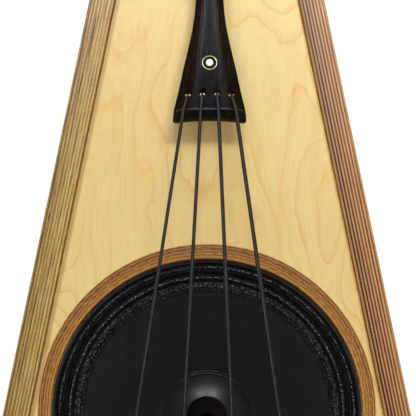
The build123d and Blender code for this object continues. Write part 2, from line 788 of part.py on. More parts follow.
def bridge_half(sign):
    """Outline points of half the bridge, (x, h), from the crown down to the foot's inside."""
    return [
        (sign * 88, 80.5),
        (sign * 86, 70),
        (sign * 70, 56),
        (sign * 62, 44),
        (sign * 66, 28),
        (sign * 80, 13),
        (sign * FOOT_REACH, PICKUP_THICKNESS),
        (sign * 44, PICKUP_THICKNESS),
    ]


BRIDGE_PLANE = Plane(origin=(0, FRONT_Y, at(BRIDGE_U)), x_dir=(1, 0, 0), z_dir=(0, 0, 1))


def bridge_outline():
    """Face of the bridge in its own plane: x across, and the plane's -Y is in front."""
    right = [(x, -h) for x, h in bridge_half(1)]
    left = [(x, -h) for x, h in bridge_half(-1)]
    with BuildLine() as outline:
        Spline(*right[:6])
        Polyline(right[5], right[6], right[7])
        ThreePointArc(right[7], (0, -22), left[7])
        Polyline(left[7], left[6], left[5])
        Spline(*left[:6])
        ThreePointArc(left[0], (0, -BRIDGE_TOP_H), right[0])
    make_face(outline.edges())


with BuildPart() as bridge:
    with BuildSketch(BRIDGE_PLANE.offset(-BRIDGE_FOOT)):
        bridge_outline()
        with Locations((0, -52)):
            Circle(9, mode=Mode.SUBTRACT)
        with Locations((0, -41)):
            Rectangle(6, 14, mode=Mode.SUBTRACT)
        for side in (-1, 1):
            with Locations((side * 40, -47)):
                Ellipse(14, 9, rotation=side * 25, mode=Mode.SUBTRACT)
    extrude(amount=2 * BRIDGE_FOOT)
    with BuildSketch(Plane.YZ.offset(-100)):
        with BuildLine():
            Polyline(
                (front(0), at(BRIDGE_U) - BRIDGE_FOOT),
                (front(0), at(BRIDGE_U) + BRIDGE_FOOT),
                (front(16), at(BRIDGE_U) + BRIDGE_FOOT),
                (front(100), at(BRIDGE_U) + BRIDGE_EDGE),
                (front(100), at(BRIDGE_U) - BRIDGE_EDGE),
                (front(16), at(BRIDGE_U) - BRIDGE_FOOT),
                close=True,
            )
        make_face()
    extrude(amount=200, mode=Mode.INTERSECT)
    for name, (lane, radius) in STRINGS.items():
        route = string_points(name)
        for start, end in ((route[3], route[2]), (route[3], route[4])):
            run = Vector(*end) - Vector(*start)
            with BuildSketch(Plane(origin=Vector(*start), z_dir=run)):
                Circle(radius + FIT)
            extrude(amount=12, mode=Mode.SUBTRACT)
        with Locations(Vector(*route[3])):
            Sphere(radius + FIT, mode=Mode.SUBTRACT)
save(bridge, "bridge")

with BuildPart() as bridge_pickup:
    with BuildSketch(facing(FRONT_Y)):
        with Locations((-63, at(BRIDGE_U)), (63, at(BRIDGE_U))):
            Rectangle(34, 2 * BRIDGE_FOOT)
    extrude(amount=PICKUP_THICKNESS)
save(bridge_pickup, "bridge_pickup")

# ---- Neck, fingerboard and nut ----
BOARD_LOW_U = 800.0
BOARD_HALF_LOW = 77.0
BOARD_HALF_NUT = 20.0
STRING_LIFT_LOW = 9.0  # strings over the fingerboard at its wide end
STRING_LIFT_NUT = 2.9
BOARD_SIDE = 7.0  # thickness of the fingerboard at its edges
STRING_SLOPE = (BRIDGE_STRING_H - NUT_STRING_H) / SCALE_LENGTH


def string_h(u):
    """Centre height of the middle strings between bridge and nut."""
    return BRIDGE_STRING_H - STRING_SLOPE * (u - BRIDGE_U)


BOARD_LOW_H = string_h(BOARD_LOW_U) - STRING_LIFT_LOW
BOARD_NUT_H = string_h(NUT_U) - STRING_LIFT_NUT


def board_section(u, half, top_h, arch):
    """Fingerboard section, flat underneath and arched on top, and its underside's height."""
    drop = arch - sqrt(arch**2 - half**2)
    with BuildSketch(Plane.XY.offset(at(u))) as section:
        with BuildLine():
            ThreePointArc(
                (-half, front(top_h - drop)),
                (0, front(top_h)),
                (half, front(top_h - drop)),
            )
            Polyline(
                (half, front(top_h - drop)),
                (half, front(top_h - drop - BOARD_SIDE)),
                (-half, front(top_h - drop - BOARD_SIDE)),
                (-half, front(top_h - drop)),
            )
        make_face()
    return section.sketch, top_h - drop - BOARD_SIDE


with BuildPart() as fingerboard:
    low_end, under_low_h = board_section(BOARD_LOW_U, BOARD_HALF_LOW, BOARD_LOW_H, 230.0)
    nut_end, under_nut_h = board_section(NUT_U, BOARD_HALF_NUT, BOARD_NUT_H, NUT_ARCH)
    loft([low_end, nut_end])
save(fingerboard, "fingerboard")


def under_h(u):
    """Height of the fingerboard's flat underside."""
    share = (u - BOARD_LOW_U) / (NUT_U - BOARD_LOW_U)
    return under_low_h + share * (under_nut_h - under_low_h)


NECK_HALF_LOW = 38.0
NECK_DEPTH_LOW = 34.0
NECK_DEPTH_NUT = 21.0
NUT_WIDTH = 7.0
HEEL_HALF_WIDTH = 30.0
HEEL_FOOT_H = -96.0


def neck_section(u, half, depth):
    """Neck section: flat under the fingerboard, round behind."""
    top = front(under_h(u))
    with BuildSketch(Plane.XY.offset(at(u))) as section:
        with BuildLine():
            Line((-half, top), (half, top))
            ThreePointArc((half, top), (0, top + depth), (-half, top))
        make_face()
    return section.sketch


NECK_TOP_U = NUT_U + NUT_WIDTH
with BuildPart() as neck:
    heel_end = neck_section(BODY_LENGTH, NECK_HALF_LOW, NECK_DEPTH_LOW)
    head_end = neck_section(NECK_TOP_U, BOARD_HALF_NUT, NECK_DEPTH_NUT)
    loft([heel_end, head_end])
    with BuildSketch(Plane.YZ.offset(-HEEL_HALF_WIDTH)):
        heel_top = (front(under_h(950) - 22), at(950))
        with BuildLine():
            Polyline(
                heel_top,
                (front(under_h(950) - 8), at(950)),
                (front(under_h(BODY_LENGTH) - 8), BODY_TOP),
                (front(HEEL_FOOT_H), BODY_TOP),
                (front(HEEL_FOOT_H), BODY_TOP + 16),
            )
            ThreePointArc(
                (front(HEEL_FOOT_H), BODY_TOP + 16),
                (front(under_h(950) - 72), BODY_TOP + 42),
                heel_top,
            )
        make_face()
    extrude(amount=2 * HEEL_HALF_WIDTH)
save(neck, "neck")

with BuildPart() as nut:
    nut_bottom = front(under_h(NUT_U) + 0.3)
    nut_top = front(NUT_STRING_H + 0.4)
    with BuildSketch(Plane.XY.offset(at(NUT_U))):
        with BuildLine():
            edge_h = NUT_STRING_H + 0.4 - (NUT_ARCH - sqrt(NUT_ARCH**2 - BOARD_HALF_NUT**2))
            ThreePointArc(
                (-BOARD_HALF_NUT, front(edge_h)), (0, nut_top), (BOARD_HALF_NUT, front(edge_h))
            )
            Polyline(
                (BOARD_HALF_NUT, front(edge_h)),
                (BOARD_HALF_NUT, nut_bottom),
                (-BOARD_HALF_NUT, nut_bottom),
                (-BOARD_HALF_NUT, front(edge_h)),
            )
        make_face()
    extrude(amount=NUT_WIDTH)
    for name, (lane, radius) in STRINGS.items():
        route = string_points(name)
        for start, end in ((route[4], route[3]), (route[4], route[5])):
            run = Vector(*end) - Vector(*start)
            with BuildSketch(Plane(origin=Vector(*start), z_dir=run)):
                Circle(radius + FIT)
            extrude(amount=12, mode=Mode.SUBTRACT)
        with Locations(Vector(*route[4])):
            Sphere(radius + FIT, mode=Mode.SUBTRACT)
save(nut, "nut")

# ---- Head: pegbox and scroll ----
BOX_LENGTH = 178.0
BOX_FRONT_H = 6.0
BOX_BACK_H = -43.0
BOX_LOW_Z = NUT_Z + NUT_WIDTH
BOX_HIGH_Z = BOX_LOW_Z + BOX_LENGTH
SCROLL_RADIUS = 36.0
SCROLL_Z = BOX_HIGH_Z + 26
SCROLL_H = BOX_FRONT_H - HEAD_TILT * (BOX_LENGTH + 26) - 20
TURNS = ((SCROLL_RADIUS, 21.0), (24.0, 30.0), (12.0, 38.0))


def leaning(h, z):
    """Point of the head's side view, leaning back with height."""
    return (front(h - HEAD_TILT * (z - BOX_LOW_Z)), z)


with BuildPart() as scroll_head:
    with BuildSketch(Plane.YZ.offset(-CHEEK_OUTER)):
        with BuildLine():
            Polyline(
                leaning(BOX_FRONT_H, BOX_LOW_Z),
                leaning(BOX_FRONT_H, BOX_HIGH_Z),
                leaning(BOX_BACK_H, BOX_HIGH_Z),
                leaning(BOX_BACK_H, BOX_LOW_Z + 22),
                (front(under_h(NECK_TOP_U) - NECK_DEPTH_NUT), BOX_LOW_Z),
                close=True,
            )
        make_face()
    extrude(amount=2 * CHEEK_OUTER)
    for radius, reach in TURNS:
        with BuildSketch(Plane.YZ.offset(-reach)):
            with Locations((front(SCROLL_H), SCROLL_Z)):
                Circle(radius)
        extrude(amount=2 * reach)
    with BuildSketch(Plane.YZ.offset(-CHEEK_INNER)):
        with BuildLine():
            Polyline(
                leaning(BOX_FRONT_H + 30, BOX_LOW_Z + 3),
                leaning(BOX_FRONT_H + 30, BOX_HIGH_Z - 14),
                leaning(BOX_BACK_H + 10, BOX_HIGH_Z - 14),
                leaning(BOX_BACK_H + 10, BOX_LOW_Z + 8),
                close=True,
            )
        make_face()
    extrude(amount=2 * CHEEK_INNER, mode=Mode.SUBTRACT)
    with BuildSketch(Plane.YZ.offset(-CHEEK_OUTER)):
        with Locations(*[(roller_y(place), roller_z(place)) for place in range(4)]):
            Circle(ROLLER_RADIUS + RUNNING)
    extrude(amount=2 * CHEEK_OUTER, mode=Mode.SUBTRACT)
save(scroll_head, "scroll_head")

# ---- Worm tuners ----
GEAR_TEETH = 20
GEAR_RADIUS = 14.0
GEAR_WIDTH = 5.0
TOOTH_GAP = ((-2.6, -0.6), (-2.6, 0.6), (0.5, 1.4), (0.5, -1.4))  # radial, across
GEAR_X = CHEEK_OUTER + BRASS_PLATE + 2.0
AXLE_RADIUS = 4.5
WORM_RADIUS = 4.2
WORM_SHAFT = 3.0
WORM_X = GEAR_X + GEAR_WIDTH / 2
WORM_RISE = GEAR_RADIUS + WORM_RADIUS + 0.15
LUG_NEAR = 9.0
LUG_DEPTH = 5.0
TUNER_SIDE = {"e": -1, "a": -1, "d": 1, "g": 1}

with BuildPart() as tuner_plates:
    for side in (-1, 1):
        inside = side * CHEEK_OUTER
        with BuildSketch(Plane(origin=(inside, 0, 0), x_dir=(0, 1, 0), z_dir=(side, 0, 0))):
            corners = (
                leaning(-2, BOX_LOW_Z + 14),
                leaning(-2, BOX_HIGH_Z - 2),
                leaning(-32, BOX_HIGH_Z - 2),
                leaning(-32, BOX_LOW_Z + 14),
            )
            with BuildLine():
                Polyline(*[(y, side * z) for y, z in corners], close=True)
            make_face()
        extrude(amount=BRASS_PLATE)
    for name, side in TUNER_SIDE.items():
        y = roller_y(ROLLERS[name])
        z = roller_z(ROLLERS[name])
        with BuildSketch(Plane(origin=(side * (CHEEK_OUTER - 1), y, z), z_dir=(side, 0, 0))):
            Circle(AXLE_RADIUS + RUNNING)
        extrude(amount=BRASS_PLATE + 2, mode=Mode.SUBTRACT)
        for lug_y in (-LUG_NEAR - LUG_DEPTH / 2, LUG_NEAR + LUG_DEPTH / 2):
            lug_x = side * (CHEEK_OUTER + BRASS_PLATE)
            reach = WORM_X + WORM_SHAFT + 2 - CHEEK_OUTER - BRASS_PLATE
            with Locations((lug_x + side * reach / 2, y + lug_y, z + WORM_RISE)):
                Box(reach, LUG_DEPTH, 10)
        with BuildSketch(
            Plane(origin=(side * WORM_X, y - 20, z + WORM_RISE), z_dir=(0, 1, 0))
        ):
            Circle(WORM_SHAFT + RUNNING)
        extrude(amount=40, mode=Mode.SUBTRACT)
save(tuner_plates, "tuner_plates")


def tuner_roller(name):
    """Roller across the pegbox with its gear wheel outside the cheek."""
    side = TUNER_SIDE[name]
    y = roller_y(ROLLERS[name])
    z = roller_z(ROLLERS[name])
    with BuildPart() as roller:
        with BuildSketch(Plane(origin=(-side * (CHEEK_OUTER - 0.3), y, z), z_dir=(side, 0, 0))):
            Circle(ROLLER_RADIUS)
        extrude(amount=2 * CHEEK_OUTER - 0.6)
        with BuildSketch(Plane(origin=(side * (CHEEK_OUTER - 1), y, z), z_dir=(side, 0, 0))):
            Circle(AXLE_RADIUS)
        extrude(amount=GEAR_X + GEAR_WIDTH + 3 - CHEEK_OUTER + 1)
        with BuildSketch(Plane(origin=(side * GEAR_X, y, z), z_dir=(side, 0, 0))):
            Circle(GEAR_RADIUS)
            with PolarLocations(GEAR_RADIUS, GEAR_TEETH):
                Polygon(*TOOTH_GAP, align=None, mode=Mode.SUBTRACT)
        extrude(amount=GEAR_WIDTH)
    save(roller, f"tuner_roller_{name}")


def tuner_key(name):
    """Worm, its shaft and the winged key behind the head."""
    side = TUNER_SIDE[name]
    y = roller_y(ROLLERS[name])
    z = roller_z(ROLLERS[name]) + WORM_RISE
    near = LUG_NEAR - 0.3
    far = LUG_NEAR + LUG_DEPTH
    with BuildPart() as key:
        with BuildSketch(Plane(origin=(side * WORM_X, y - far, z), z_dir=(0, 1, 0))):
            Circle(WORM_SHAFT)
        extrude(amount=2 * far + 26)
        with BuildSketch(Plane(origin=(side * WORM_X, y - near, z), z_dir=(0, 1, 0))):
            Circle(WORM_RADIUS)
        extrude(amount=2 * near)
        with BuildSketch(Plane(origin=(side * WORM_X, y + far + 0.3, z), z_dir=(0, 1, 0))):
            Circle(WORM_RADIUS)
        extrude(amount=3)
        wing = Plane(origin=(side * WORM_X, y + far + 38, z), x_dir=(0, 1, 0), z_dir=(1, 0, 0))
        with BuildSketch(wing):
            Ellipse(15, 14)
        extrude(amount=2.0, both=True)
    save(key, f"tuner_key_{name}")


def string_winding(name):
    """The turns of a string that lie on its roller."""
    lane, radius = STRINGS[name]
    outward = 1 if lane > 0 else -1
    side = -outward if abs(lane) > 1 else outward
    y = roller_y(ROLLERS[name])
    z = roller_z(ROLLERS[name])
    with BuildPart() as winding:
        for turn in (0, 1):
            x = lane * NUT_SPACING + side * (2 * radius + 0.2) * (turn + 1)
            with BuildSketch(Plane(origin=(0, y, z), x_dir=(1, 0, 0), z_dir=(0, -1, 0))):
                with Locations((x, ROLLER_RADIUS + radius + 0.1)):
                    Circle(radius)
            revolve(axis=Axis((0, y, z), (1, 0, 0)))
    save(winding, f"string_winding_{name}")


for string_name, (string_lane, string_radius) in STRINGS.items():
    tuner_roller(string_name)
    tuner_key(string_name)
    string_winding(string_name)
    with BuildPart() as string:
        tube(string_points(string_name), string_radius)
    save(string, f"string_{string_name}")

# ---- Amplifier in the back ----
AMP_FACE_Y = BACK_FACE_Y + 3.0
KNOB_RADIUS = 9.0
SPINDLE_RADIUS = 3.0
KNOB_U = AMP_U + 50
JACK_U = AMP_U + 10
JACK_RADIUS = 3.25
JACK_LENGTH = 14.0
with BuildPart() as amp_plate:
    with BuildSketch(facing(AMP_FACE_Y)):
        with Locations((0, at(AMP_U))):
            RectangleRounded(AMP_WIDTH, AMP_HEIGHT, 6)
        with Locations((-25, at(KNOB_U)), (25, at(KNOB_U))):
            Circle(SPINDLE_RADIUS + RUNNING, mode=Mode.SUBTRACT)
        with Locations((-22, at(JACK_U))):
            Circle(6.0, mode=Mode.SUBTRACT)
        with Locations((22, at(JACK_U))):
            Rectangle(19.4, 13.4, mode=Mode.SUBTRACT)
        with Locations((0, at(AMP_U - 42))):
            Rectangle(28, 20, mode=Mode.SUBTRACT)
    extrude(amount=3)
    with BuildSketch(facing(BACK_FACE_Y)):
        with Locations((0, at(AMP_U))):
            Rectangle(AMP_WIDTH - 24, AMP_HEIGHT - 24)
            Rectangle(AMP_WIDTH - 30, AMP_HEIGHT - 30, mode=Mode.SUBTRACT)
    extrude(amount=48)
    with BuildSketch(facing(BACK_FACE_Y - 45)):
        with Locations((0, at(AMP_U))):
            Rectangle(AMP_WIDTH - 26, AMP_HEIGHT - 26)
    extrude(amount=3)
save(amp_plate, "amp_plate")


def control_knob(x, name):
    """Knob on its spindle, with a pointer ridge."""
    with BuildPart() as knob:
        with BuildSketch(facing(AMP_FACE_Y + 13)):
            with Locations((x, at(KNOB_U))):
                Circle(KNOB_RADIUS)
        extrude(amount=12.7)
        with BuildSketch(facing(AMP_FACE_Y)):
            with Locations((x, at(KNOB_U))):
                Circle(SPINDLE_RADIUS)
        extrude(amount=14)
        with BuildSketch(facing(AMP_FACE_Y + 0.5)):
            with Locations((x, at(KNOB_U))):
                Circle(SPINDLE_RADIUS)
        extrude(amount=1)
        with BuildSketch(facing(AMP_FACE_Y + 14)):
            with Locations((x, at(KNOB_U) + 5)):
                Rectangle(1.6, 6)
        extrude(amount=1.5)
    save(knob, name)


control_knob(-25, "volume_knob")
control_knob(25, "tone_knob")

with BuildPart() as jack_socket:
    with BuildSketch(facing(AMP_FACE_Y + 1.5)):
        with Locations((-22, at(JACK_U))):
            RegularPolygon(8, 6)
            Circle(JACK_RADIUS, mode=Mode.SUBTRACT)
    extrude(amount=1.5)
    with BuildSketch(facing(AMP_FACE_Y)):
        with Locations((-22, at(JACK_U))):
            Circle(5.9)
            Circle(JACK_RADIUS, mode=Mode.SUBTRACT)
    extrude(amount=JACK_LENGTH - 1.5)
    with BuildSketch(facing(AMP_FACE_Y - JACK_LENGTH + 1.5)):
        with Locations((-22, at(JACK_U))):
            Rectangle(14, 14)
    extrude(amount=14)
save(jack_socket, "jack_socket")

ROCKER_Y = AMP_FACE_Y - 2.0
ROCKER_TILT = radians(7)
with BuildPart() as switch_frame:
    with BuildSketch(facing(AMP_FACE_Y + 1.5)):
        with Locations((22, at(JACK_U))):
            Rectangle(23, 17)
            Rectangle(16, 10.4, mode=Mode.SUBTRACT)
    extrude(amount=1.5)
    with BuildSketch(facing(AMP_FACE_Y)):
        with Locations((22, at(JACK_U))):
            Rectangle(19, 13)
            Rectangle(16, 10.4, mode=Mode.SUBTRACT)
    extrude(amount=14)
    with BuildSketch(facing(AMP_FACE_Y - 14)):
        with Locations((22, at(JACK_U))):
            Rectangle(19, 13)
    extrude(amount=2)
save(switch_frame, "switch_frame")

with BuildPart() as power_switch:
    rocker_plane = Plane(
        origin=(22, ROCKER_Y, at(JACK_U)),
        x_dir=(cos(ROCKER_TILT), sin(ROCKER_TILT), 0),
        z_dir=(0, 0, 1),
    )
    with BuildSketch(rocker_plane):
        with BuildLine():
            Polyline((-7.2, 5.0), (0, 3.3), (7.2, 5.0), (6.6, -4), (-6.6, -4), close=True)
        make_face()
    extrude(amount=4.9, both=True)
save(power_switch, "power_switch")

with BuildPart() as mains_inlet:
    with BuildSketch(facing(AMP_FACE_Y + 2)):
        with Locations((0, at(AMP_U - 42))):
            RectangleRounded(48, 26, 5)
            RectangleRounded(24, 16, 3, mode=Mode.SUBTRACT)
    extrude(amount=2)
    with BuildSketch(facing(AMP_FACE_Y)):
        with Locations((0, at(AMP_U - 42))):
            Rectangle(27.6, 19.6)
            RectangleRounded(24, 16, 3, mode=Mode.SUBTRACT)
    extrude(amount=18)
    with BuildSketch(facing(AMP_FACE_Y - 16)):
        with Locations((0, at(AMP_U - 42))):
            Rectangle(27.6, 19.6)
    extrude(amount=4)
    with BuildSketch(facing(AMP_FACE_Y - 4)):
        with Locations((-7, at(AMP_U - 44)), (0, at(AMP_U - 40)), (7, at(AMP_U - 44))):
            Rectangle(2, 4)
    extrude(amount=12)
save(mains_inlet, "mains_inlet")
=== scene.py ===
"""Looks of the upright electric double bass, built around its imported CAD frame.

Lengths are metres in the CAD's own frame: the origin is the endpin's tip on the floor, +Z runs
up to the scroll, and the front plate faces -Y. "Depth" is Y and "height" is Z.
"""
import math

import bmesh
import bpy
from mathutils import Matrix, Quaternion, Vector, noise


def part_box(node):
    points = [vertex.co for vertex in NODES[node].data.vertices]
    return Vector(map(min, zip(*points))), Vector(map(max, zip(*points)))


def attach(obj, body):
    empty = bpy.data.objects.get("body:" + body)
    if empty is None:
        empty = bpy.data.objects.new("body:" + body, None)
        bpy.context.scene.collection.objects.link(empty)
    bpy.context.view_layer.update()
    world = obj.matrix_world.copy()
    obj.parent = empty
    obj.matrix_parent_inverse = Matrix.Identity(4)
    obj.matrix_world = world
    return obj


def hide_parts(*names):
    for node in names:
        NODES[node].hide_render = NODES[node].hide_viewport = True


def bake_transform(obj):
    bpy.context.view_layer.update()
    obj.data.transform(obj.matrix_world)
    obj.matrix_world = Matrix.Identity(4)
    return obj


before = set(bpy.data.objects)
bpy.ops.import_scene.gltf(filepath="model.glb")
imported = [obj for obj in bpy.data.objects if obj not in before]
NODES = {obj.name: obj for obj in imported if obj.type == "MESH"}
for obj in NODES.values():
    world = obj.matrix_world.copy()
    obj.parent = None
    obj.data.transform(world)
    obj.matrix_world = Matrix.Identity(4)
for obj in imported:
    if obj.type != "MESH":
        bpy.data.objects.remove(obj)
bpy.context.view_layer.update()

# ---- Places taken from the frame ----
BODY = "body"
SIDE_LOW, SIDE_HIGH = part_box("side_right")
PLATE_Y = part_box("front_plate")[0].y
BODY_FOOT_Z = SIDE_LOW.z
BODY_TOP_Z = SIDE_HIGH.z
CONE_LOW, CONE_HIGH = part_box("woofer_cone")
WOOFER_Z = (CONE_LOW.z + CONE_HIGH.z) / 2
CONE_RADIUS = (CONE_HIGH.z - CONE_LOW.z) / 2
CONE_EDGE_Y = CONE_LOW.y
CONE_BACK_Y = CONE_HIGH.y
TAIL_LOW, TAIL_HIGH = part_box("tailpiece")
TAIL_X = (TAIL_LOW.x + TAIL_HIGH.x) / 2

MM = 0.001
TAPER = 0.1916  # growth of the body's half width for each metre of height
FOOT_HALF_WIDTH = SIDE_HIGH.x - TAPER * (BODY_TOP_Z - BODY_FOOT_Z)
SIDE_COS = 1 / math.sqrt(1 + TAPER**2)
SIDE_BOARD = 21 * MM
PLATE_BOARD = 12 * MM


# ---- Shader building ----
class Shader:
    """One material's node tree, with a short call for each kind of node it uses."""

    def __init__(self, name):
        self.material = bpy.data.materials.new(name)
        self.material.use_nodes = True
        self.tree = self.material.node_tree
        self.surface = self.tree.nodes["Principled BSDF"]
        self.coordinates = self.tree.nodes.new("ShaderNodeTexCoord")
        self.place = self.coordinates.outputs["Object"]

    def feed(self, socket, value):
        """Link a socket to another node's output, or set it to a plain value."""
        if isinstance(value, bpy.types.NodeSocket):
            self.tree.links.new(value, socket)
        elif isinstance(value, tuple) and len(value) == 3 and socket.type == "RGBA":
            socket.default_value = (*value, 1.0)
        else:
            socket.default_value = value

    def math(self, operation, a, b=0.0, clamp=False):
        node = self.tree.nodes.new("ShaderNodeMath")
        node.operation = operation
        node.use_clamp = clamp
        self.feed(node.inputs[0], a)
        self.feed(node.inputs[1], b)
        return node.outputs[0]

    def add(self, a, b, clamp=False):
        return self.math("ADD", a, b, clamp)

    def subtract(self, a, b):
        return self.math("SUBTRACT", a, b)

    def times(self, a, b):
        return self.math("MULTIPLY", a, b)

    def over(self, a, b, clamp=False):
        return self.math("DIVIDE", a, b, clamp)

    def length(self, a, b):
        return self.math("SQRT", self.add(self.times(a, a), self.times(b, b)))

    def split(self, vector):
        node = self.tree.nodes.new("ShaderNodeSeparateXYZ")
        self.feed(node.inputs[0], vector)
        return node.outputs

    def join(self, x, y, z):
        node = self.tree.nodes.new("ShaderNodeCombineXYZ")
        for socket, value in zip(node.inputs, (x, y, z)):
            self.feed(socket, value)
        return node.outputs[0]

    def facing(self, axis):
        """How squarely a face looks along an axis (0, 1 or 2 for X, Y or Z), from 0 to 1."""
        return self.math("ABSOLUTE", self.split(self.coordinates.outputs["Normal"])[axis])

    def broad(self, axis):
        """1 on the faces that look along an axis, and 0 on a board's edges."""
        return self.ramp(self.facing(axis), [(0.80, 0.0), (0.93, 1.0)])

    def noise(self, vector, scale=1.0, detail=3.0, rough=0.5, distortion=0.0):
        node = self.tree.nodes.new("ShaderNodeTexNoise")
        self.feed(node.inputs["Vector"], vector)
        self.feed(node.inputs["Scale"], scale)
        self.feed(node.inputs["Detail"], detail)
        self.feed(node.inputs["Roughness"], rough)
        self.feed(node.inputs["Distortion"], distortion)
        return node.outputs["Fac"]

    def grain(self, x, y, z, detail=2.0, rough=0.5, distortion=0.0):
        """Noise over the object's coordinates, each multiplied by its own factor."""
        node = self.tree.nodes.new("ShaderNodeMapping")
        self.feed(node.inputs["Vector"], self.place)
        self.feed(node.inputs["Scale"], (x, y, z))
        return self.noise(node.outputs[0], 1.0, detail, rough, distortion)

    def flat_noise(self, across, along, depth, detail=3.0, rough=0.5, distortion=0.0):
        """Noise over a plane, from a (value, factor) pair across it and another along it."""
        place = self.join(self.times(*across), self.times(*along), depth)
        return self.noise(place, 1.0, detail, rough, distortion)

    def cells(self, vector, scale):
        """Distance to the nearest of many scattered points, from 0 at a point."""
        node = self.tree.nodes.new("ShaderNodeTexVoronoi")
        self.feed(node.inputs["Vector"], vector)
        self.feed(node.inputs["Scale"], scale)
        return node.outputs["Distance"]

    def ramp(self, value, stops, smooth=False):
        """Colours or greys along a value, from a list of (place, colour)."""
        node = self.tree.nodes.new("ShaderNodeValToRGB")
        self.feed(node.inputs[0], value)
        elements = node.color_ramp.elements
        while len(elements) < len(stops):
            elements.new(1.0)
        for element, (place, colour) in zip(elements, stops):
            element.position = place
            grey = isinstance(colour, (int, float))
            element.color = (colour, colour, colour, 1) if grey else (*colour, 1)
        if smooth:
            node.color_ramp.interpolation = "EASE"
        return node.outputs[0]

    def mix(self, share, a, b):
        node = self.tree.nodes.new("ShaderNodeMix")
        node.data_type = "RGBA"
        self.feed(node.inputs[0], share)
        self.feed(node.inputs[6], a)
        self.feed(node.inputs[7], b)
        return node.outputs[2]

    def bump(self, height, depth, normal=None):
        """A bump of the given depth in metres, on top of another where one is named."""
        node = self.tree.nodes.new("ShaderNodeBump")
        self.feed(node.inputs["Height"], height)
        node.inputs["Distance"].default_value = depth
        if normal is not None:
            self.feed(node.inputs["Normal"], normal)
        return node.outputs[0]

    def finish(self, colour, roughness, normal=None, **values):
        """Feed the surface; other inputs are plain values by their name, with _ for a space."""
        self.feed(self.surface.inputs["Base Color"], colour)
        self.feed(self.surface.inputs["Roughness"], roughness)
        if normal is not None:
            self.feed(self.surface.inputs["Normal"], normal)
        for name, value in values.items():
            self.feed(self.surface.inputs[name.replace("_", " ")], value)
        return self.material


def srgb(red, green, blue):
    """A linear colour from display values of 0 to 255."""
    return tuple((c / 255 / 12.92) if c < 11 else ((c / 255 + 0.055) / 1.055) ** 2.4
                 for c in (red, green, blue))


# ---- Wood ----
VENEER_PALE = srgb(236, 214, 144)
VENEER_GOLD = srgb(229, 198, 118)
VENEER_FLECK = srgb(226, 170, 82)
VENEER_PORE = srgb(170, 120, 66)


def veneer(shader, across, along, depth):
    """Rotary-cut birch: nested wavy contours of growth, soft flecks and fine pores."""
    relief = shader.flat_noise((across, 7.0), (along, 3.2), depth, 2.0, 0.45, 0.5)
    wobble = shader.flat_noise((across, 45.0), (along, 22.0), depth)
    fade = shader.flat_noise((across, 11.0), (along, 7.0), depth + 7.0, 2.0)
    warmth = shader.flat_noise((across, 16.0), (along, 6.0), depth + 3.0)
    flecks = shader.flat_noise((across, 70.0), (along, 16.0), depth)
    pores = shader.flat_noise((across, 700.0), (along, 22.0), depth, 2.0)
    contour = shader.math("FRACT", shader.add(shader.times(relief, 24.0),
                                              shader.times(wobble, 0.9)))
    line = shader.ramp(contour, [(0.0, 0.0), (0.60, 0.05), (0.84, 0.45), (0.92, 1.0), (1.0, 0.0)])
    figure = shader.times(line, shader.ramp(fade, [(0.36, 0.10), (0.62, 1.0)]))
    fine = shader.math("FRACT", shader.add(shader.times(relief, 60.0),
                                           shader.times(wobble, 1.5)))
    thread = shader.ramp(fine, [(0.0, 0.0), (0.6, 0.0), (0.85, 0.22), (1.0, 0.0)])
    colour = shader.mix(shader.ramp(warmth, [(0.35, 0.0), (0.75, 0.6)]), VENEER_PALE, VENEER_GOLD)
    colour = shader.mix(shader.times(figure, 0.62), colour, VENEER_FLECK)
    colour = shader.mix(shader.ramp(flecks, [(0.55, 0.0), (0.78, 0.35)]), colour, VENEER_FLECK)
    colour = shader.mix(shader.times(thread, warmth), colour, VENEER_FLECK)
    return shader.mix(shader.ramp(pores, [(0.3, 0.07), (0.6, 0.0)]), colour, VENEER_PORE)


PLY_BROWN = ((0.0, srgb(232, 191, 130)), (0.3, srgb(190, 138, 84)), (0.65, srgb(116, 69, 38)),
             (1.0, srgb(50, 23, 10)))
PLY_GOLDEN = ((0.0, srgb(232, 210, 134)), (0.3, srgb(208, 178, 98)), (0.65, srgb(150, 118, 58)),
              (1.0, srgb(92, 62, 27)))


def ply_edges(shader, share, along, tones, colours=PLY_BROWN, veil=(0.0, 0.0), mottle=1.0):
    """Bands across a board seen edge-on. share runs from 0 at one face to 1 at the other;
    tones gives each cross-laid ply's darkness, and lighter plies lie between them. veil is
    how much darker the plies are made at the first face and at the second, and mottle scales
    the uneven patches and streaks."""
    count = 2 * len(tones) + 1
    stops = []
    for index in range(count):
        tone = tones[index // 2] if index % 2 else 0.0
        stops.append(((index + 0.16) / count, tone))
        stops.append(((index + 0.84) / count, tone))
    darkness = shader.ramp(share, stops)
    band = shader.times(share, float(count))
    streaks = shader.flat_noise((band, 3.0), (along, 26.0), 0.0, 4.0, 0.6)
    drift = shader.flat_noise((band, 0.7), (along, 7.0), 4.0, 2.0)
    grain = shader.flat_noise((band, 4.0), (along, 420.0), 2.0, 2.0)
    darkness = shader.times(darkness, shader.ramp(drift, [(0.25, 0.55), (0.75, 1.25)]))
    darkness = shader.add(darkness, shader.ramp(streaks, [(0.35, 0.0), (0.8, 0.45 * mottle)]))
    darkness = shader.add(darkness, shader.times(shader.subtract(grain, 0.5), 0.28 * mottle))
    # the plies made darker towards one face, as veil gives
    darkening = shader.ramp(share, [(0.0, veil[0]), (1.0, veil[1])])
    return shader.ramp(shader.add(darkness, darkening, clamp=True), colours)


VOID_LENGTH = 9 * MM  # half the length of a gap in an inner ply
VOID_WIDTH = 0.030  # half its width, as a share of the board
VOID_COLOUR = srgb(22, 12, 6)


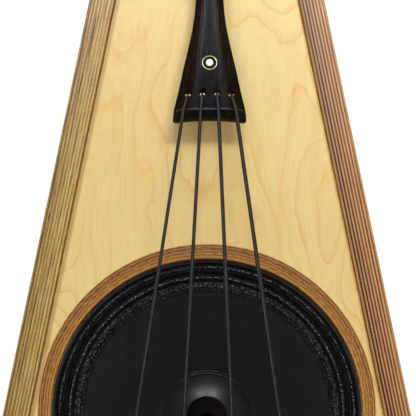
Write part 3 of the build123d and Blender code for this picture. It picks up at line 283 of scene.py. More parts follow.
def voids(shader, colour, share, height, places):
    """Short dark gaps in the inner plies, at (share of the board, height) places."""
    for band, level, stretch in places:
        across = shader.over(shader.subtract(share, band), VOID_WIDTH)
        along = shader.over(shader.subtract(height, level), VOID_LENGTH * stretch)
        reach = shader.add(shader.times(across, across), shader.times(along, along))
        colour = shader.mix(shader.ramp(reach, [(0.5, 1.0), (1.0, 0.0)]), colour, VOID_COLOUR)
    return colour


def depth_in_side(shader, x, z):
    """How far a place lies inside the outer face of the nearer side board."""
    half_width = shader.add(shader.times(shader.subtract(z, BODY_FOOT_Z), TAPER),
                            FOOT_HALF_WIDTH)
    return shader.times(shader.subtract(half_width, shader.math("ABSOLUTE", x)), SIDE_COS)


BOARD_FIBRES = 0.12 * MM  # depth of the bumps that a board's fibres make


def side_material(name, tones, void_places, colours, veil, mottle):
    """A slanted side board: plies along its edges, veneer on its broad faces."""
    shader = Shader(name)
    x, y, z = shader.split(shader.place)
    share = shader.over(depth_in_side(shader, x, z), SIDE_BOARD, clamp=True)
    edges = voids(shader, ply_edges(shader, share, z, tones, colours, veil, mottle), share, z,
                  void_places)
    faces = veneer(shader, y, z, 3.0)
    return shader.finish(shader.mix(shader.broad(0), edges, faces), 0.46,
                         shader.bump(shader.grain(500, 500, 18), BOARD_FIBRES),
                         Coat_Weight=0.12, Coat_Roughness=0.25)


PLATE_RINGS = (  # depth in the plate as a share, and colour, through its nine plies
    (0.00, srgb(236, 196, 120)), (0.05, srgb(224, 174, 96)), (0.075, srgb(88, 46, 18)),
    (0.12, srgb(140, 86, 40)), (0.15, srgb(228, 176, 98)), (0.19, srgb(206, 148, 78)),
    (0.22, srgb(112, 62, 26)), (0.28, srgb(178, 116, 56)), (0.36, srgb(158, 98, 44)),
    (0.40, srgb(236, 188, 110)), (0.45, srgb(120, 68, 30)), (0.53, srgb(204, 144, 72)),
    (0.60, srgb(222, 168, 88)), (0.65, srgb(108, 60, 26)), (0.69, srgb(212, 152, 72)),
    (0.80, srgb(222, 162, 78)), (0.87, srgb(196, 132, 58)), (0.91, srgb(116, 64, 26)),
    (1.00, srgb(168, 106, 46)),
)


def plate_material(name):
    """The front plate: veneer on its face, plies around the opening's chamfer."""
    shader = Shader(name)
    x, y, z = shader.split(shader.place)
    face = veneer(shader, x, z, 0.0)
    share = shader.over(shader.subtract(y, PLATE_Y), PLATE_BOARD, clamp=True)
    rings = shader.ramp(share, PLATE_RINGS)
    round_angle = shader.math("ARCTAN2", x, shader.subtract(z, WOOFER_Z))
    grain = shader.flat_noise((round_angle, 26.0), (y, 1500.0), 0.0, 3.0, 0.6)
    speck = shader.grain(1300, 900, 1300, 2.0, 0.6)
    rings = shader.mix(shader.ramp(grain, [(0.36, 0.50), (0.50, 0.0)]), rings, srgb(92, 50, 20))
    rings = shader.mix(shader.ramp(grain, [(0.52, 0.0), (0.68, 0.55)]), rings,
                       srgb(246, 206, 136))
    rings = shader.mix(shader.ramp(speck, [(0.56, 0.0), (0.70, 0.25)]), rings, srgb(96, 54, 24))
    rings = shader.mix(0.10, rings, srgb(92, 50, 16))
    # painted shade on the face beside the rims, where the raised rims shade it: wider and darker
    # on the +X side
    right = shader.math("GREATER_THAN", x, 0.0)
    inset = shader.subtract(depth_in_side(shader, x, z), SIDE_BOARD)
    painted_shade_width = shader.add(shader.times(right, 2.2 * MM), 4.0 * MM)
    darkening = shader.ramp(shader.over(inset, painted_shade_width, clamp=True),
                        [(0.0, 1.0), (0.6, 0.85), (1.0, 0.0)], smooth=True)
    darkening = shader.times(darkening, shader.add(shader.times(right, 0.20), 0.36))
    # the painted shade's olive colour on the plate
    face = shader.mix(darkening, face, srgb(112, 92, 50))
    return shader.finish(shader.mix(shader.broad(1), rings, face), 0.42,
                         shader.bump(shader.grain(600, 600, 20), 0.00008),
                         Coat_Weight=0.15, Coat_Roughness=0.22)


def end_material(name):
    """An end board of the body, whose plies lie one above the other."""
    shader = Shader(name)
    x, y, z = shader.split(shader.place)
    nearer = shader.math("MINIMUM", shader.subtract(z, BODY_FOOT_Z),
                         shader.subtract(BODY_TOP_Z, z))
    share = shader.over(nearer, SIDE_BOARD, clamp=True)
    edges = ply_edges(shader, share, x, (0.8, 0.5, 0.7, 0.45, 0.6, 0.75, 0.5))
    return shader.finish(shader.mix(shader.broad(2), edges, veneer(shader, y, x, 5.0)), 0.46,
                         shader.bump(shader.grain(18, 500, 500), BOARD_FIBRES),
                         Coat_Weight=0.12, Coat_Roughness=0.25)


def flat_ply_material(name):
    """Plywood lying across the body: veneer on faces that look along Y, plies on its edges."""
    shader = Shader(name)
    x, y, z = shader.split(shader.place)
    share = shader.math("FRACT", shader.over(y, PLATE_BOARD))
    edges = ply_edges(shader, share, z, (0.7, 0.5, 0.6, 0.5))
    return shader.finish(shader.mix(shader.broad(1), edges, veneer(shader, x, z, 9.0)), 0.48,
                         Coat_Weight=0.1, Coat_Roughness=0.3)


def ebony_material(name, brown=0.0, level=0.3, gloss=0.38):
    """Oiled ebony: near black with fine lengthwise streaks, their slight bluish tint a painted
    reflection of the sky. brown is how far the slopes that face sideways turn to a warm brown,
    painted light given by which way they face; level is the sheen's strength and gloss its
    blur."""
    shader = Shader(name)
    streaks = shader.grain(420, 420, 9, 4.0, 0.6)
    pores = shader.grain(1500, 1500, 60)
    # painted reflection: the cool ramp's bluish tint stands for the sky mirrored in the ebony, and
    # the warm one is painted on the slopes that face sideways
    cool = shader.ramp(streaks, [(0.3, srgb(3, 3, 5)), (0.7, srgb(15, 17, 25))])
    warm = shader.ramp(streaks, [(0.3, srgb(9, 6, 2)), (0.7, srgb(36, 26, 12))])
    slopes = shader.ramp(shader.facing(0), [(0.13, 0.0), (0.30, 1.0)])
    colour = shader.mix(shader.times(slopes, brown), cool, warm)
    normal = shader.bump(streaks, 0.0002, shader.bump(pores, 0.00010))
    return shader.finish(colour, gloss, normal, Specular_IOR_Level=level)


def maple_material(name, pale, dark, sheen):
    """Maple with a cross-grain curl and small flecks."""
    shader = Shader(name)
    curl = shader.grain(9, 9, 75, 3.0, 0.55, 0.4)
    grain = shader.grain(160, 160, 7, 4.0, 0.6)
    flecks = shader.grain(700, 700, 150)
    colour = shader.mix(shader.ramp(grain, [(0.3, 0.0), (0.7, 0.7)]), pale, dark)
    colour = shader.mix(shader.ramp(curl, [(0.4, 0.35), (0.6, 0.0)]), colour, dark)
    colour = shader.mix(shader.ramp(flecks, [(0.66, 0.0), (0.74, 0.4)]), colour, dark)
    return shader.finish(colour, sheen, shader.bump(grain, 0.0001), Coat_Weight=0.2,
                         Coat_Roughness=0.2)


# ---- Metals and plastics ----
def metal_material(name, colour, roughness, brush=(300, 300, 20)):
    """Brushed metal with slight stains in its sheen."""
    shader = Shader(name)
    lines = shader.grain(*brush)
    stains = shader.noise(shader.place, 60.0, 3.0)
    sheen = shader.add(shader.times(lines, 0.16), shader.times(stains, 0.14))
    dull = tuple(c * 0.72 for c in colour)
    tint = shader.mix(shader.ramp(stains, [(0.4, 0.0), (0.8, 1.0)]), colour, dull)
    return shader.finish(tint, shader.add(sheen, roughness - 0.15),
                         shader.bump(lines, 0.00004), Metallic=1.0)


def moulded_material(name, colour, roughness, grain=900.0, depth=0.00008):
    """Plastic, paint or rubber with a fine moulded grain."""
    shader = Shader(name)
    fine = shader.noise(shader.place, grain, 2.0)
    wide = shader.noise(shader.place, 35.0, 3.0)
    pale = tuple(min(1.0, c * 1.5 + 0.003) for c in colour)
    tint = shader.mix(shader.ramp(wide, [(0.35, 0.0), (0.75, 0.6)]), colour, pale)
    rough = shader.add(shader.times(fine, 0.12), roughness - 0.06)
    return shader.finish(tint, rough, shader.bump(fine, depth))


TAPE_PITCH = 0.9 * MM  # from one ring of a string's tape to the next


def string_material(name):
    """Black nylon tape wound on a core: fine rings along the string."""
    shader = Shader(name)
    height = shader.split(shader.place)[2]
    rings = shader.math("SINE", shader.times(height, 2 * math.pi / TAPE_PITCH))
    wear = shader.noise(shader.place, 300.0, 3.0)
    colour = shader.ramp(wear, [(0.3, srgb(10, 11, 14)), (0.75, srgb(23, 25, 31))])
    return shader.finish(colour, 0.42, shader.bump(rings, 0.00006))


# ---- Loudspeaker materials: radii are measured from the woofer's axis ----
def woofer_radius(shader):
    """Distance from the woofer's axis."""
    x, _, z = shader.split(shader.place)
    return shader.length(x, shader.subtract(z, WOOFER_Z))


COATING_EDGE = CONE_RADIUS - 4.0 * MM  # where the coating ends on the cone
SURROUND_LOW, SURROUND_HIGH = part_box("woofer_surround")
SURROUND_RADIUS = (SURROUND_HIGH.z - SURROUND_LOW.z) / 2
CREST_SPAN = 21 * MM
# (share of the span in from the outer edge, painted glint strength) over two crests with a small
# one between
CREST_GLINTS = ((0.12, 0.0), (0.17, 1.0), (0.20, 1.0), (0.245, 0.0), (0.29, 0.0), (0.325, 0.45),
              (0.36, 0.0), (0.53, 0.0), (0.585, 1.0), (0.625, 1.0), (0.68, 0.0))


def surround_material(name):
    """Tacky black coating with small glinting lumps, and painted glints: grey specks on its crests
    and its inner edge, where they would catch the light."""
    shader = Shader(name)
    lumps = shader.noise(shader.place, 620.0, 3.0, 0.65)
    specks = shader.cells(shader.place, 480.0)
    glint = shader.ramp(specks, [(0.10, 0.16), (0.32, 0.55)])
    radius = woofer_radius(shader)
    crest = shader.ramp(shader.over(shader.subtract(SURROUND_RADIUS, radius), CREST_SPAN),
                        CREST_GLINTS)
    speck_noise = shader.ramp(shader.noise(shader.place, 780.0, 3.0, 0.7), [(0.53, 0.0), (0.63, 1.0)])
    inner = shader.ramp(shader.over(shader.subtract(CONE_RADIUS + 5.5 * MM, radius), 1.2 * MM),
                        [(0.0, 0.0), (1.0, 0.30)])
    # painted glints: grey specks on the crests and at the inner edge, where the glossy lumps would
    # catch the light
    glint_share = shader.math("MAXIMUM", shader.times(crest, crest), inner)
    glint_specks = shader.times(speck_noise, shader.add(shader.times(glint_share, 0.97), 0.03))
    colour = shader.mix(glint_specks, srgb(1, 1, 2), srgb(168, 170, 182))
    return shader.finish(colour, glint, shader.bump(lumps, 0.0014), Specular_IOR_Level=0.20)


def cone_material(name):
    """Matt charcoal pulp, with the coating's ragged edge around its rim."""
    shader = Shader(name)
    radius = woofer_radius(shader)
    ragged = shader.times(shader.subtract(shader.noise(shader.place, 420.0, 4.0, 0.65), 0.5),
                          9.0 * MM)
    past_edge = shader.subtract(shader.add(radius, ragged), COATING_EDGE)
    coated = shader.ramp(shader.over(past_edge, 1.0 * MM), [(0.0, 0.0), (1.0, 1.0)])
    pulp = shader.noise(shader.place, 1400.0, 3.0)
    lumps = shader.noise(shader.place, 620.0, 3.0, 0.65)
    fibres = shader.grain(80, 80, 80, 4.0)
    paper = shader.mix(shader.ramp(fibres, [(0.3, 0.0), (0.7, 1.0)]), srgb(22, 22, 23),
                       srgb(29, 29, 30))
    speck_noise = shader.ramp(shader.noise(shader.place, 780.0, 3.0, 0.7), [(0.52, 0.0), (0.64, 1.0)])
    # painted glints: grey specks on the coating stand for its lumps' highlights
    coat = shader.mix(speck_noise, srgb(2, 2, 3), srgb(58, 59, 66))
    colour = shader.mix(coated, paper, coat)
    rough = shader.ramp(coated, [(0.0, 0.8), (1.0, 0.2)])
    height = shader.mix(coated, shader.times(pulp, 0.06), lumps)
    return shader.finish(colour, rough, shader.bump(height, 0.0012), Specular_IOR_Level=0.3)


def cap_material(name):
    """Smooth charcoal cap with a slight sheen."""
    shader = Shader(name)
    fine = shader.noise(shader.place, 1200.0, 3.0)
    wide = shader.noise(shader.place, 60.0, 3.0)
    colour = shader.mix(wide, srgb(28, 28, 27), srgb(34, 34, 33))
    return shader.finish(colour, 0.34, shader.bump(fine, 0.00005), Specular_IOR_Level=0.36)


MATERIALS = {
    "plate": plate_material("birch_front"),
    "side_left": side_material(
        "birch_side_left", (0.45, 0.55, 0.50, 0.60, 0.62, 0.80, 0.98),
        ((0.27, 0.291, 0.7),), PLY_BROWN, (0.02, 0.20), 1.0),
    "side_right": side_material(
        "birch_side_right", (0.50, 0.26, 0.36, 0.24, 0.34, 0.30, 0.42),
        ((0.43, 0.352, 2.6), (0.36, 0.395, 1.4), (0.20, 0.512, 0.5)),
        PLY_GOLDEN, (0.26, 0.00), 2.1),
    "end": end_material("birch_end"),
    "flat_ply": flat_ply_material("birch_flat"),
    "ebony": ebony_material("ebony"),
    "tail_ebony": ebony_material("tail_ebony", 1.0, 0.05, 0.26),
    "fret_ebony": moulded_material("fret_ebony", (0.006, 0.006, 0.008), 0.30, 300.0, 0.00004),
    "neck_maple": maple_material("neck_maple", srgb(206, 158, 98), srgb(160, 104, 54), 0.36),
    "bridge_maple": maple_material("bridge_maple", srgb(222, 184, 128), srgb(186, 136, 80), 0.5),
    "steel": metal_material("steel", (0.62, 0.62, 0.64), 0.30),
    "bright_steel": metal_material("bright_steel", (0.72, 0.72, 0.74), 0.16),
    "magnet_steel": moulded_material("magnet_steel", (0.010, 0.010, 0.011), 0.6, 700.0),
    "brass": metal_material("brass", (0.95, 0.73, 0.36), 0.30),
    "gold": metal_material("gold", (0.86, 0.72, 0.34), 0.36),
    "ball_brass": metal_material("ball_brass", (0.66, 0.40, 0.18), 0.34),
    "coil": metal_material("coil", (0.72, 0.42, 0.24), 0.35, (30, 900, 30)),
    "black_paint": moulded_material("black_paint", (0.006, 0.006, 0.007), 0.55, 1300.0),
    "ferrite": moulded_material("ferrite", (0.035, 0.035, 0.037), 0.6, 700.0),
    "rubber": moulded_material("rubber", (0.006, 0.006, 0.006), 0.7),
    "matt_plastic": moulded_material("matt_plastic", (0.016, 0.016, 0.017), 0.5, 1500.0),
    "gloss_plastic": moulded_material("gloss_plastic", (0.010, 0.010, 0.011), 0.16, 60.0, 0.00001),
    "pearl": moulded_material("pearl", (0.90, 0.90, 0.88), 0.2, 160.0, 0.00002),
    "spider": moulded_material("spider_cloth", (0.42, 0.26, 0.07), 0.7, 1600.0, 0.0002),
    "string": string_material("string_tape"),
    "surround": surround_material("surround_coating"),
    "cone": cone_material("cone_pulp"),
    "cap": cap_material("cap_charcoal"),
    "bead": moulded_material("glue_bead", (0.012, 0.012, 0.013), 0.3, 500.0, 0.0002),
}

NODE_MATERIALS = {
    "side_left": "side_left", "side_right": "side_right", "front_plate": "plate",
    "tail_panel": "end", "shoulder_panel": "end", "speaker_baffle": "flat_ply",
    "back_panel": "flat_ply", "inner_blocks": "flat_ply", "panel_screws": "steel",
    "woofer_basket": "black_paint", "woofer_bolts": "steel", "woofer_gasket": "rubber",
    "woofer_surround": "surround", "woofer_cone": "cone", "dust_cap": "cap",
    "voice_coil": "coil", "spider": "spider", "magnet_plates": "magnet_steel",
    "magnet_ring": "ferrite", "tailpiece": "tail_ebony", "tailpiece_fret": "ebony",
    "eye_ring": "gold", "eye_dot": "pearl", "ball_ends": "ball_brass", "tail_wire": "bright_steel",
    "saddle": "ebony", "endpin_collar": "ebony", "endpin_rod": "bright_steel",
    "endpin_tip": "rubber", "endpin_thumbscrew": "brass", "bridge": "bridge_maple",
    "bridge_pickup": "brass", "fingerboard": "ebony", "neck": "neck_maple", "nut": "ebony",
    "scroll_head": "neck_maple", "tuner_plates": "brass", "amp_plate": "black_paint",
    "volume_knob": "matt_plastic", "tone_knob": "matt_plastic", "jack_socket": "bright_steel",
    "switch_frame": "matt_plastic", "power_switch": "gloss_plastic",
    "mains_inlet": "matt_plastic",
}
for letter in "eadg":
    NODE_MATERIALS["tuner_roller_" + letter] = "brass"
    NODE_MATERIALS["tuner_key_" + letter] = "brass"
    NODE_MATERIALS["string_winding_" + letter] = "string"
    NODE_MATERIALS["string_" + letter] = "string"


def dress(node, material):
    """Give every face of a CAD node one material."""
    slots = NODES[node].material_slots
    for slot in slots:
        slot.link = "OBJECT"
        slot.material = material
    if not slots:
        NODES[node].data.materials.append(material)


for node_name, look in NODE_MATERIALS.items():
    dress(node_name, MATERIALS[look])


# ---- Mesh helpers ----
SHARP_ANGLE = math.radians(38)


def piece(name, points, faces, material, smooth=True):
    """A new mesh object in the scene."""
    mesh = bpy.data.meshes.new(name)
    mesh.from_pydata([tuple(p) for p in points], [], faces)
    mesh.materials.append(material)
    if smooth:
        mesh.shade_smooth()
    else:
        mesh.shade_flat()
    mesh.set_sharp_from_angle(angle=SHARP_ANGLE)
    obj = bpy.data.objects.new(name, mesh)
    bpy.context.scene.collection.objects.link(obj)
    return obj


def skin(rows, count, whole=False, capped=True):
    """Faces that join rows of count points each. The rows go on from the last to the first
    when whole, and otherwise their two ends are capped."""
    faces = []
    for row in range(rows if whole else rows - 1):
        this, after = row * count, (row + 1) % rows * count
        for i in range(count):
            j = (i + 1) % count
            faces.append((this + i, this + j, after + j, after + i))
    if capped and not whole:
        faces.append(tuple(range(count))[::-1])
        faces.append(tuple((rows - 1) * count + i for i in range(count)))
    return faces


def turned(name, outline, material, start=0.0, sweep=2 * math.pi, steps=192):
    """A closed outline of (depth, radius) points turned about the woofer's axis."""
    whole = sweep > 2 * math.pi - 0.001
    rows = steps if whole else steps + 1
    points = []
    for row in range(rows):
        angle = start + sweep * row / steps
        for y, radius in outline:
            points.append((radius * math.sin(angle), y, WOOFER_Z + radius * math.cos(angle)))
    return piece(name, points, skin(rows, len(outline), whole), material)


# ---- Surround: the accordion edge between the body and the cone, in sectors ----
SURROUND_FRONT = SURROUND_LOW.y
SECTORS = 24

# (mm behind the highest crest, mm in from the outer edge), from the outside in
ACCORDION = (
    (4.4, 0.0), (3.6, 0.1), (3.4, 0.6), (3.0, 1.4), (2.2, 2.3), (0.9, 3.1), (0.2, 3.7),
    (0.1, 4.1), (0.6, 4.7), (1.4, 5.4), (1.5, 5.9), (0.8, 6.5), (0.5, 6.9), (1.1, 7.5),
    (2.2, 8.4), (3.0, 9.4), (2.9, 10.1), (1.6, 11.1), (0.3, 12.0), (0.0, 12.7), (0.3, 13.4),
    (1.6, 14.2), (2.9, 15.0), (3.2, 15.6), (2.6, 16.3), (2.0, 17.0), (2.1, 17.8),
    (2.8, 18.9), (3.3, 20.1), (3.3, 20.9),
)


def accordion_outline():
    """A closed (depth, radius) outline: the coated front skin and a thinner back skin."""
    front = [(SURROUND_FRONT + y * MM, SURROUND_RADIUS - r * MM) for y, r in ACCORDION]
    back = [(y + 0.8 * MM, r) for y, r in front[:0:-1]]
    return front + back


def lumpy(obj, height, size, radius_from, radius_to):
    """Raise small lumps on the front of a turned piece, between two radii."""
    for vertex in obj.data.vertices:
        place = vertex.co
        radius = math.hypot(place.x, place.z - WOOFER_Z)
        if radius_from < radius < radius_to:
            place.y -= height * max(0.0, noise.noise(place / size))


surround_line = accordion_outline()
for sector in range(SECTORS):
    middle = 2 * math.pi * sector / SECTORS
    half = math.pi / SECTORS
    strip = turned(f"surround_{sector + 1}", surround_line, MATERIALS["surround"],
                   middle - half, 2 * half, 24)
    lumpy(strip, 0.5 * MM, 1.3 * MM, CONE_RADIUS + 1.5 * MM, SURROUND_RADIUS - 1.5 * MM)
    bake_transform(strip)
    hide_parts("woofer_surround")

# ---- Cone: a pulp shell with a coated, lumpy rim and a bead of glue round the cap ----
CONE_WALL = 1.6 * MM
NECK_RADIUS = 26 * MM
CAP_LOW, CAP_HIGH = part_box("dust_cap")
CAP_RADIUS = (CAP_HIGH.z - CAP_LOW.z) / 2
GLUE_RADIUS = CAP_RADIUS + 1.4 * MM


def cone_depth(radius):
    """Depth of the cone's front skin at a radius: a straight line from rim to neck."""
    share = (CONE_RADIUS - radius) / (CONE_RADIUS - NECK_RADIUS)
    return CONE_EDGE_Y + (CONE_BACK_Y - CONE_WALL - CONE_EDGE_Y) * share


front_radii = [CONE_RADIUS - (CONE_RADIUS - NECK_RADIUS) * i / 90 for i in range(91)]
cone_front = [(cone_depth(r), r) for r in front_radii]
cone_line = cone_front + [(y + CONE_WALL, r) for y, r in cone_front[::-1]]
cone = turned("cone_shell", cone_line, MATERIALS["cone"], steps=288)
lumpy(cone, 0.4 * MM, 1.3 * MM, CONE_RADIUS - 4.5 * MM, CONE_RADIUS + 1 * MM)
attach(cone, "cone")
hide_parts("woofer_cone")

for number, (offset, thickness) in enumerate(((0.0, 0.75 * MM), (1.9 * MM, 0.42 * MM)), 1):
    radius = GLUE_RADIUS + offset
    ring = [(cone_depth(radius) - 0.2 * MM + thickness * math.sin(a),
             radius + thickness * math.cos(a))
            for a in [2 * math.pi * i / 12 for i in range(12)]]
    bead = turned(f"glue_bead_{number}", ring, MATERIALS["bead"], steps=240)
    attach(bead, "cone")

# ---- Tailpiece: a flat crown between two sloping flanks, with drilled string holes ----
TAIL_TILT = math.radians(5.8)
TAIL_ORIGIN = Vector((TAIL_X, -113.4 * MM, 436 * MM))
TAIL_DOWN = Vector((0, math.sin(TAIL_TILT), -math.cos(TAIL_TILT)))
TAIL_OUT = Vector((0, -math.cos(TAIL_TILT), -math.sin(TAIL_TILT)))
TAIL_LENGTH = 244 * MM

# (mm from the strings' end, half width in mm), and the rounded far end
TAIL_WIDTHS = (
    (0, 31.3), (8, 30.9), (14, 30.0), (22, 28.0), (34, 25.4), (49, 22.4), (66, 18.6),
    (84, 14.8), (97, 13.0), (110, 12.0), (140, 11.4), (170, 11.2), (200, 11.7), (226, 12.5),
    (232, 12.6), (237, 12.0), (240.5, 10.2), (243, 7.0), (244, 3.5),
)


def tail_width(along):
    """Half width of the tailpiece at a distance from its strings' end, both in metres."""
    place = along / MM
    for (a, wide_a), (b, wide_b) in zip(TAIL_WIDTHS, TAIL_WIDTHS[1:]):
        if place <= b:
            share = (place - a) / (b - a)
            return (wide_a + (wide_b - wide_a) * share) * MM
    return TAIL_WIDTHS[-1][1] * MM


def tail_thickness(along):
    """Thickness: 12 mm at first, then thinning evenly to 7 mm at the far end."""
    return (12 - 5 * max(0.0, along / TAIL_LENGTH - 0.35) / 0.65) * MM


def on_tailpiece(across, along, lift):
    """A point on the tailpiece from its crown's middle: across, along it, and out of it."""
    return TAIL_ORIGIN + Vector((across, 0, 0)) + TAIL_DOWN * along + TAIL_OUT * lift


CROWN_SHARE = 0.47  # the crown's reach from the middle, as a share of the half width
CROWN_BLEND = 0.15  # half the width of the bend between the crown and a flank
FLANK_SLOPE = 0.36


def tail_drop(share, wide):
    """How far the front skin lies behind the crown at a share of the half width."""
    distance = abs(share)
    arch = 0.35 * MM * (min(distance, CROWN_SHARE) / CROWN_SHARE) ** 2
    past = max(0.0, distance - CROWN_SHARE + CROWN_BLEND)
    if distance > CROWN_SHARE + CROWN_BLEND:
        slope = (distance - CROWN_SHARE) * wide * FLANK_SLOPE
    else:
        slope = past * past / (4 * CROWN_BLEND) * wide * FLANK_SLOPE
    edge = 1.4 * MM * max(0.0, (distance - 0.93) / 0.07) ** 2
    return arch + slope + edge


# corners of a cross-section as shares of its half width: its front's from left to right,
# and its back's from right to left
LEFT_SHARES = (-1.0, -0.985, -0.96, -0.93, -0.88, -0.8, -0.7, -0.62, -0.56, -0.51, -0.46, -0.41,
               -0.36, -0.3, -0.2, -0.1, 0.0)
FRONT_SHARES = LEFT_SHARES + tuple(-share for share in LEFT_SHARES[-2::-1])
BACK_SHARES = (0.96, 0.8, 0.5, 0.2, -0.2, -0.5, -0.8, -0.96)
BACK_HOLLOW = 2.6 * MM


def tail_section(along, shorten=0.0, sink=0.0, inset=0.0):
    """One closed cross-section of the tailpiece. shorten curves it in at its middle, sink
    lowers its front, and inset narrows it on each side."""
    wide = tail_width(along) - inset
    row = []
    for share in FRONT_SHARES:
        bowed = along + shorten * (1 - share * share)
        row.append(on_tailpiece(share * wide, bowed, -tail_drop(share, wide) - sink))
    for share in BACK_SHARES:
        bowed = along + shorten * (1 - share * share)
        hollow = BACK_HOLLOW * (1 - share * share)
        lift = -tail_thickness(along) + hollow * 0.5 - sink * 0.5
        row.append(on_tailpiece(share * wide * 0.97, bowed, lift))
    return row


END_BOW = 2.1 * MM  # how far the strings' end curves in at its middle
BOW_FADE = 14 * MM  # distance over which that curve straightens
END_ROUND = 9 * MM  # length of the rounded edge at the strings' end


def tail_rows():
    """Cross-sections from the strings' end, whose first ones round its edge, to the far end."""
    rows = [tail_section(1.5 * MM, END_BOW, 1.5 * MM, 0.25 * MM),
            tail_section(1.75 * MM, END_BOW, 1.05 * MM, 0.0)]
    places = [2.1, 2.7, 3.4, 4.4, 6.0, 8.0, 10.0, 11.5, 14.0, 18.0, 22.0]
    places += [26.0 + 6.0 * i for i in range(34)] + [232, 234.5, 237, 239, 240.5, 242, 243]
    for place in places:
        along = place * MM
        fade = max(0.0, 1 - along / BOW_FADE)
        sink = 1.7 * MM * max(0.0, 1 - along / END_ROUND) ** 1.2
        rows.append(tail_section(along, END_BOW * fade, sink * 0.55))
    rows.append(tail_section(243.8 * MM, 0, 1.5 * MM))
    return rows


def lofted(name, rows, material, whole=False):
    """A skin over rows of points."""
    points = [point for row in rows for point in row]
    return piece(name, points, skin(len(rows), len(rows[0]), whole), material)


def cutter(place, direction, outline):
    """A turned cutting solid: outline gives (distance along direction, radius)."""
    mesh = bpy.data.meshes.new("cutter")
    turn = direction.to_track_quat("Z", "Y")
    around = 32
    points = []
    for along, radius in outline:
        for k in range(around):
            angle = 2 * math.pi * k / around
            points.append(place + turn @ Vector((radius * math.cos(angle),
                                                 radius * math.sin(angle), along)))
    mesh.from_pydata([tuple(p) for p in points], [], skin(len(outline), around))
    obj = bpy.data.objects.new("cutter", mesh)
    bpy.context.scene.collection.objects.link(obj)
    return obj


def carve(obj, cutters):
    """Cut the solids out of a mesh and remove them."""
    for tool in cutters:
        modifier = obj.modifiers.new("cut", "BOOLEAN")
        modifier.operation = "DIFFERENCE"
        modifier.solver = "EXACT"
        modifier.object = tool
    graph = bpy.context.evaluated_depsgraph_get()
    carved = bpy.data.meshes.new_from_object(obj.evaluated_get(graph))
    carved.set_sharp_from_angle(angle=SHARP_ANGLE)
    obj.modifiers.clear()
    obj.data = carved
    for tool in cutters:
        bpy.data.objects.remove(tool)


HOLE_SPACING = 12.5 * MM
HOLE_RADIUS = 3.1 * MM
HOLE_ALONG = 24.6 * MM
HOLE_LANES = (-1.5, -0.5, 0.5, 1.5)  # places across, in hole spacings


def front_of_tailpiece(across, along):
    """How far the front skin lies behind the crown at a distance across it."""
    return tail_drop(across / tail_width(along), tail_width(along))


def hole_cutter(lane):
    """The drill and countersink of one string hole; the outer holes lean outwards."""
    across = lane * HOLE_SPACING
    lean = Vector((0.30 * lane / 1.5 if abs(lane) > 1 else 0.02 * lane, 0, 0))
    return cutter(on_tailpiece(across, HOLE_ALONG, -front_of_tailpiece(across, HOLE_ALONG)),
                  (TAIL_OUT + lean).normalized(),
                  ((-30 * MM, HOLE_RADIUS), (-0.55 * MM, HOLE_RADIUS),
                   (0.0, HOLE_RADIUS + 0.45 * MM), (0.8 * MM, HOLE_RADIUS + 1.6 * MM)))


tailpiece = lofted("tailpiece_carved", tail_rows(), MATERIALS["tail_ebony"])
carve(tailpiece, [hole_cutter(lane) for lane in HOLE_LANES])
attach(tailpiece, BODY)
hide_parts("tailpiece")

# ---- Tailpiece fret: a half-round bar that the strings break over ----
FRET_ALONG = 10.05 * MM
FRET_RISE = 2.1 * MM
FRET_HALF_WIDTH = 1.35 * MM
FRET_HALF_LENGTH = 28.4 * MM
FRET_ROOT = 1.0 * MM  # how deep the bar is let into the tailpiece
FRET_STEPS, FRET_SIDES = 56, 14


def fret_section(share):
    """A half circle over two corners below the skin; share runs from -1 to 1 along the bar."""
    across = share * FRET_HALF_LENGTH
    shrink = min(1.0, 0.25 + (1 - abs(share)) * 14)
    drop = front_of_tailpiece(across, FRET_ALONG)
    row = []
    for side in range(FRET_SIDES + 1):
        angle = math.pi * side / FRET_SIDES
        row.append(on_tailpiece(across, FRET_ALONG - FRET_HALF_WIDTH * math.cos(angle),
                                FRET_RISE * shrink * math.sin(angle) ** 0.8 - drop))
    for sign in (1, -1):
        row.append(on_tailpiece(across, FRET_ALONG + sign * FRET_HALF_WIDTH, -FRET_ROOT - drop))
    return row


fret_rows = [fret_section(2 * step / FRET_STEPS - 1) for step in range(FRET_STEPS + 1)]
fret = lofted("fret_bar", fret_rows, MATERIALS["fret_ebony"])
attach(fret, BODY)
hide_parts("tailpiece_fret")

# ---- Eye: a thin brass ring let into the crown ----
RING_LOW, RING_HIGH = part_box("eye_ring")
RING_RADIUS = (RING_HIGH.x - RING_LOW.x) / 2 - 1.0 * MM  # at the band's middle
RING_CENTRE = (RING_LOW + RING_HIGH) / 2
RING_CENTRE += TAIL_OUT * (RING_CENTRE - TAIL_ORIGIN).dot(-TAIL_OUT)  # onto the crown
RING_PROFILE = (  # mm across the band and mm out of the crown
    (-0.3, -1.0), (-0.3, 0.10), (-0.2, 0.20), (0.0, 0.24), (0.2, 0.20), (0.3, 0.10), (0.3, -1.0),
)
RING_STEPS = 96


def ring_section(step):
    """The ring's profile at one of its steps round the eye."""
    angle = 2 * math.pi * step / RING_STEPS
    spoke = Vector((math.cos(angle), 0, 0)) + TAIL_DOWN * math.sin(angle)
    return [RING_CENTRE + spoke * (RING_RADIUS + across * MM) + TAIL_OUT * lift * MM
            for across, lift in RING_PROFILE]


eye_ring = lofted("eye_ring_inlay", [ring_section(step) for step in range(RING_STEPS)],
                  MATERIALS["gold"], whole=True)
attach(eye_ring, BODY)
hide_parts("eye_ring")

# ---- Head: the CAD's pegbox with eased edges, and spiral volutes for its stepped discs ----
SCROLL_Y = -22.2 * MM
SCROLL_Z = 1911 * MM
CHEEK_REACH = 29.5 * MM  # only the stepped discs stand further out than this
VOLUTE_BASE = 19.5 * MM
VOLUTE_START = math.radians(-62)
VOLUTE_TURNS = 2.3
VOLUTE_STEPS = 200
EYE_RADIUS = 9.5 * MM
EYE_STEPS = 48


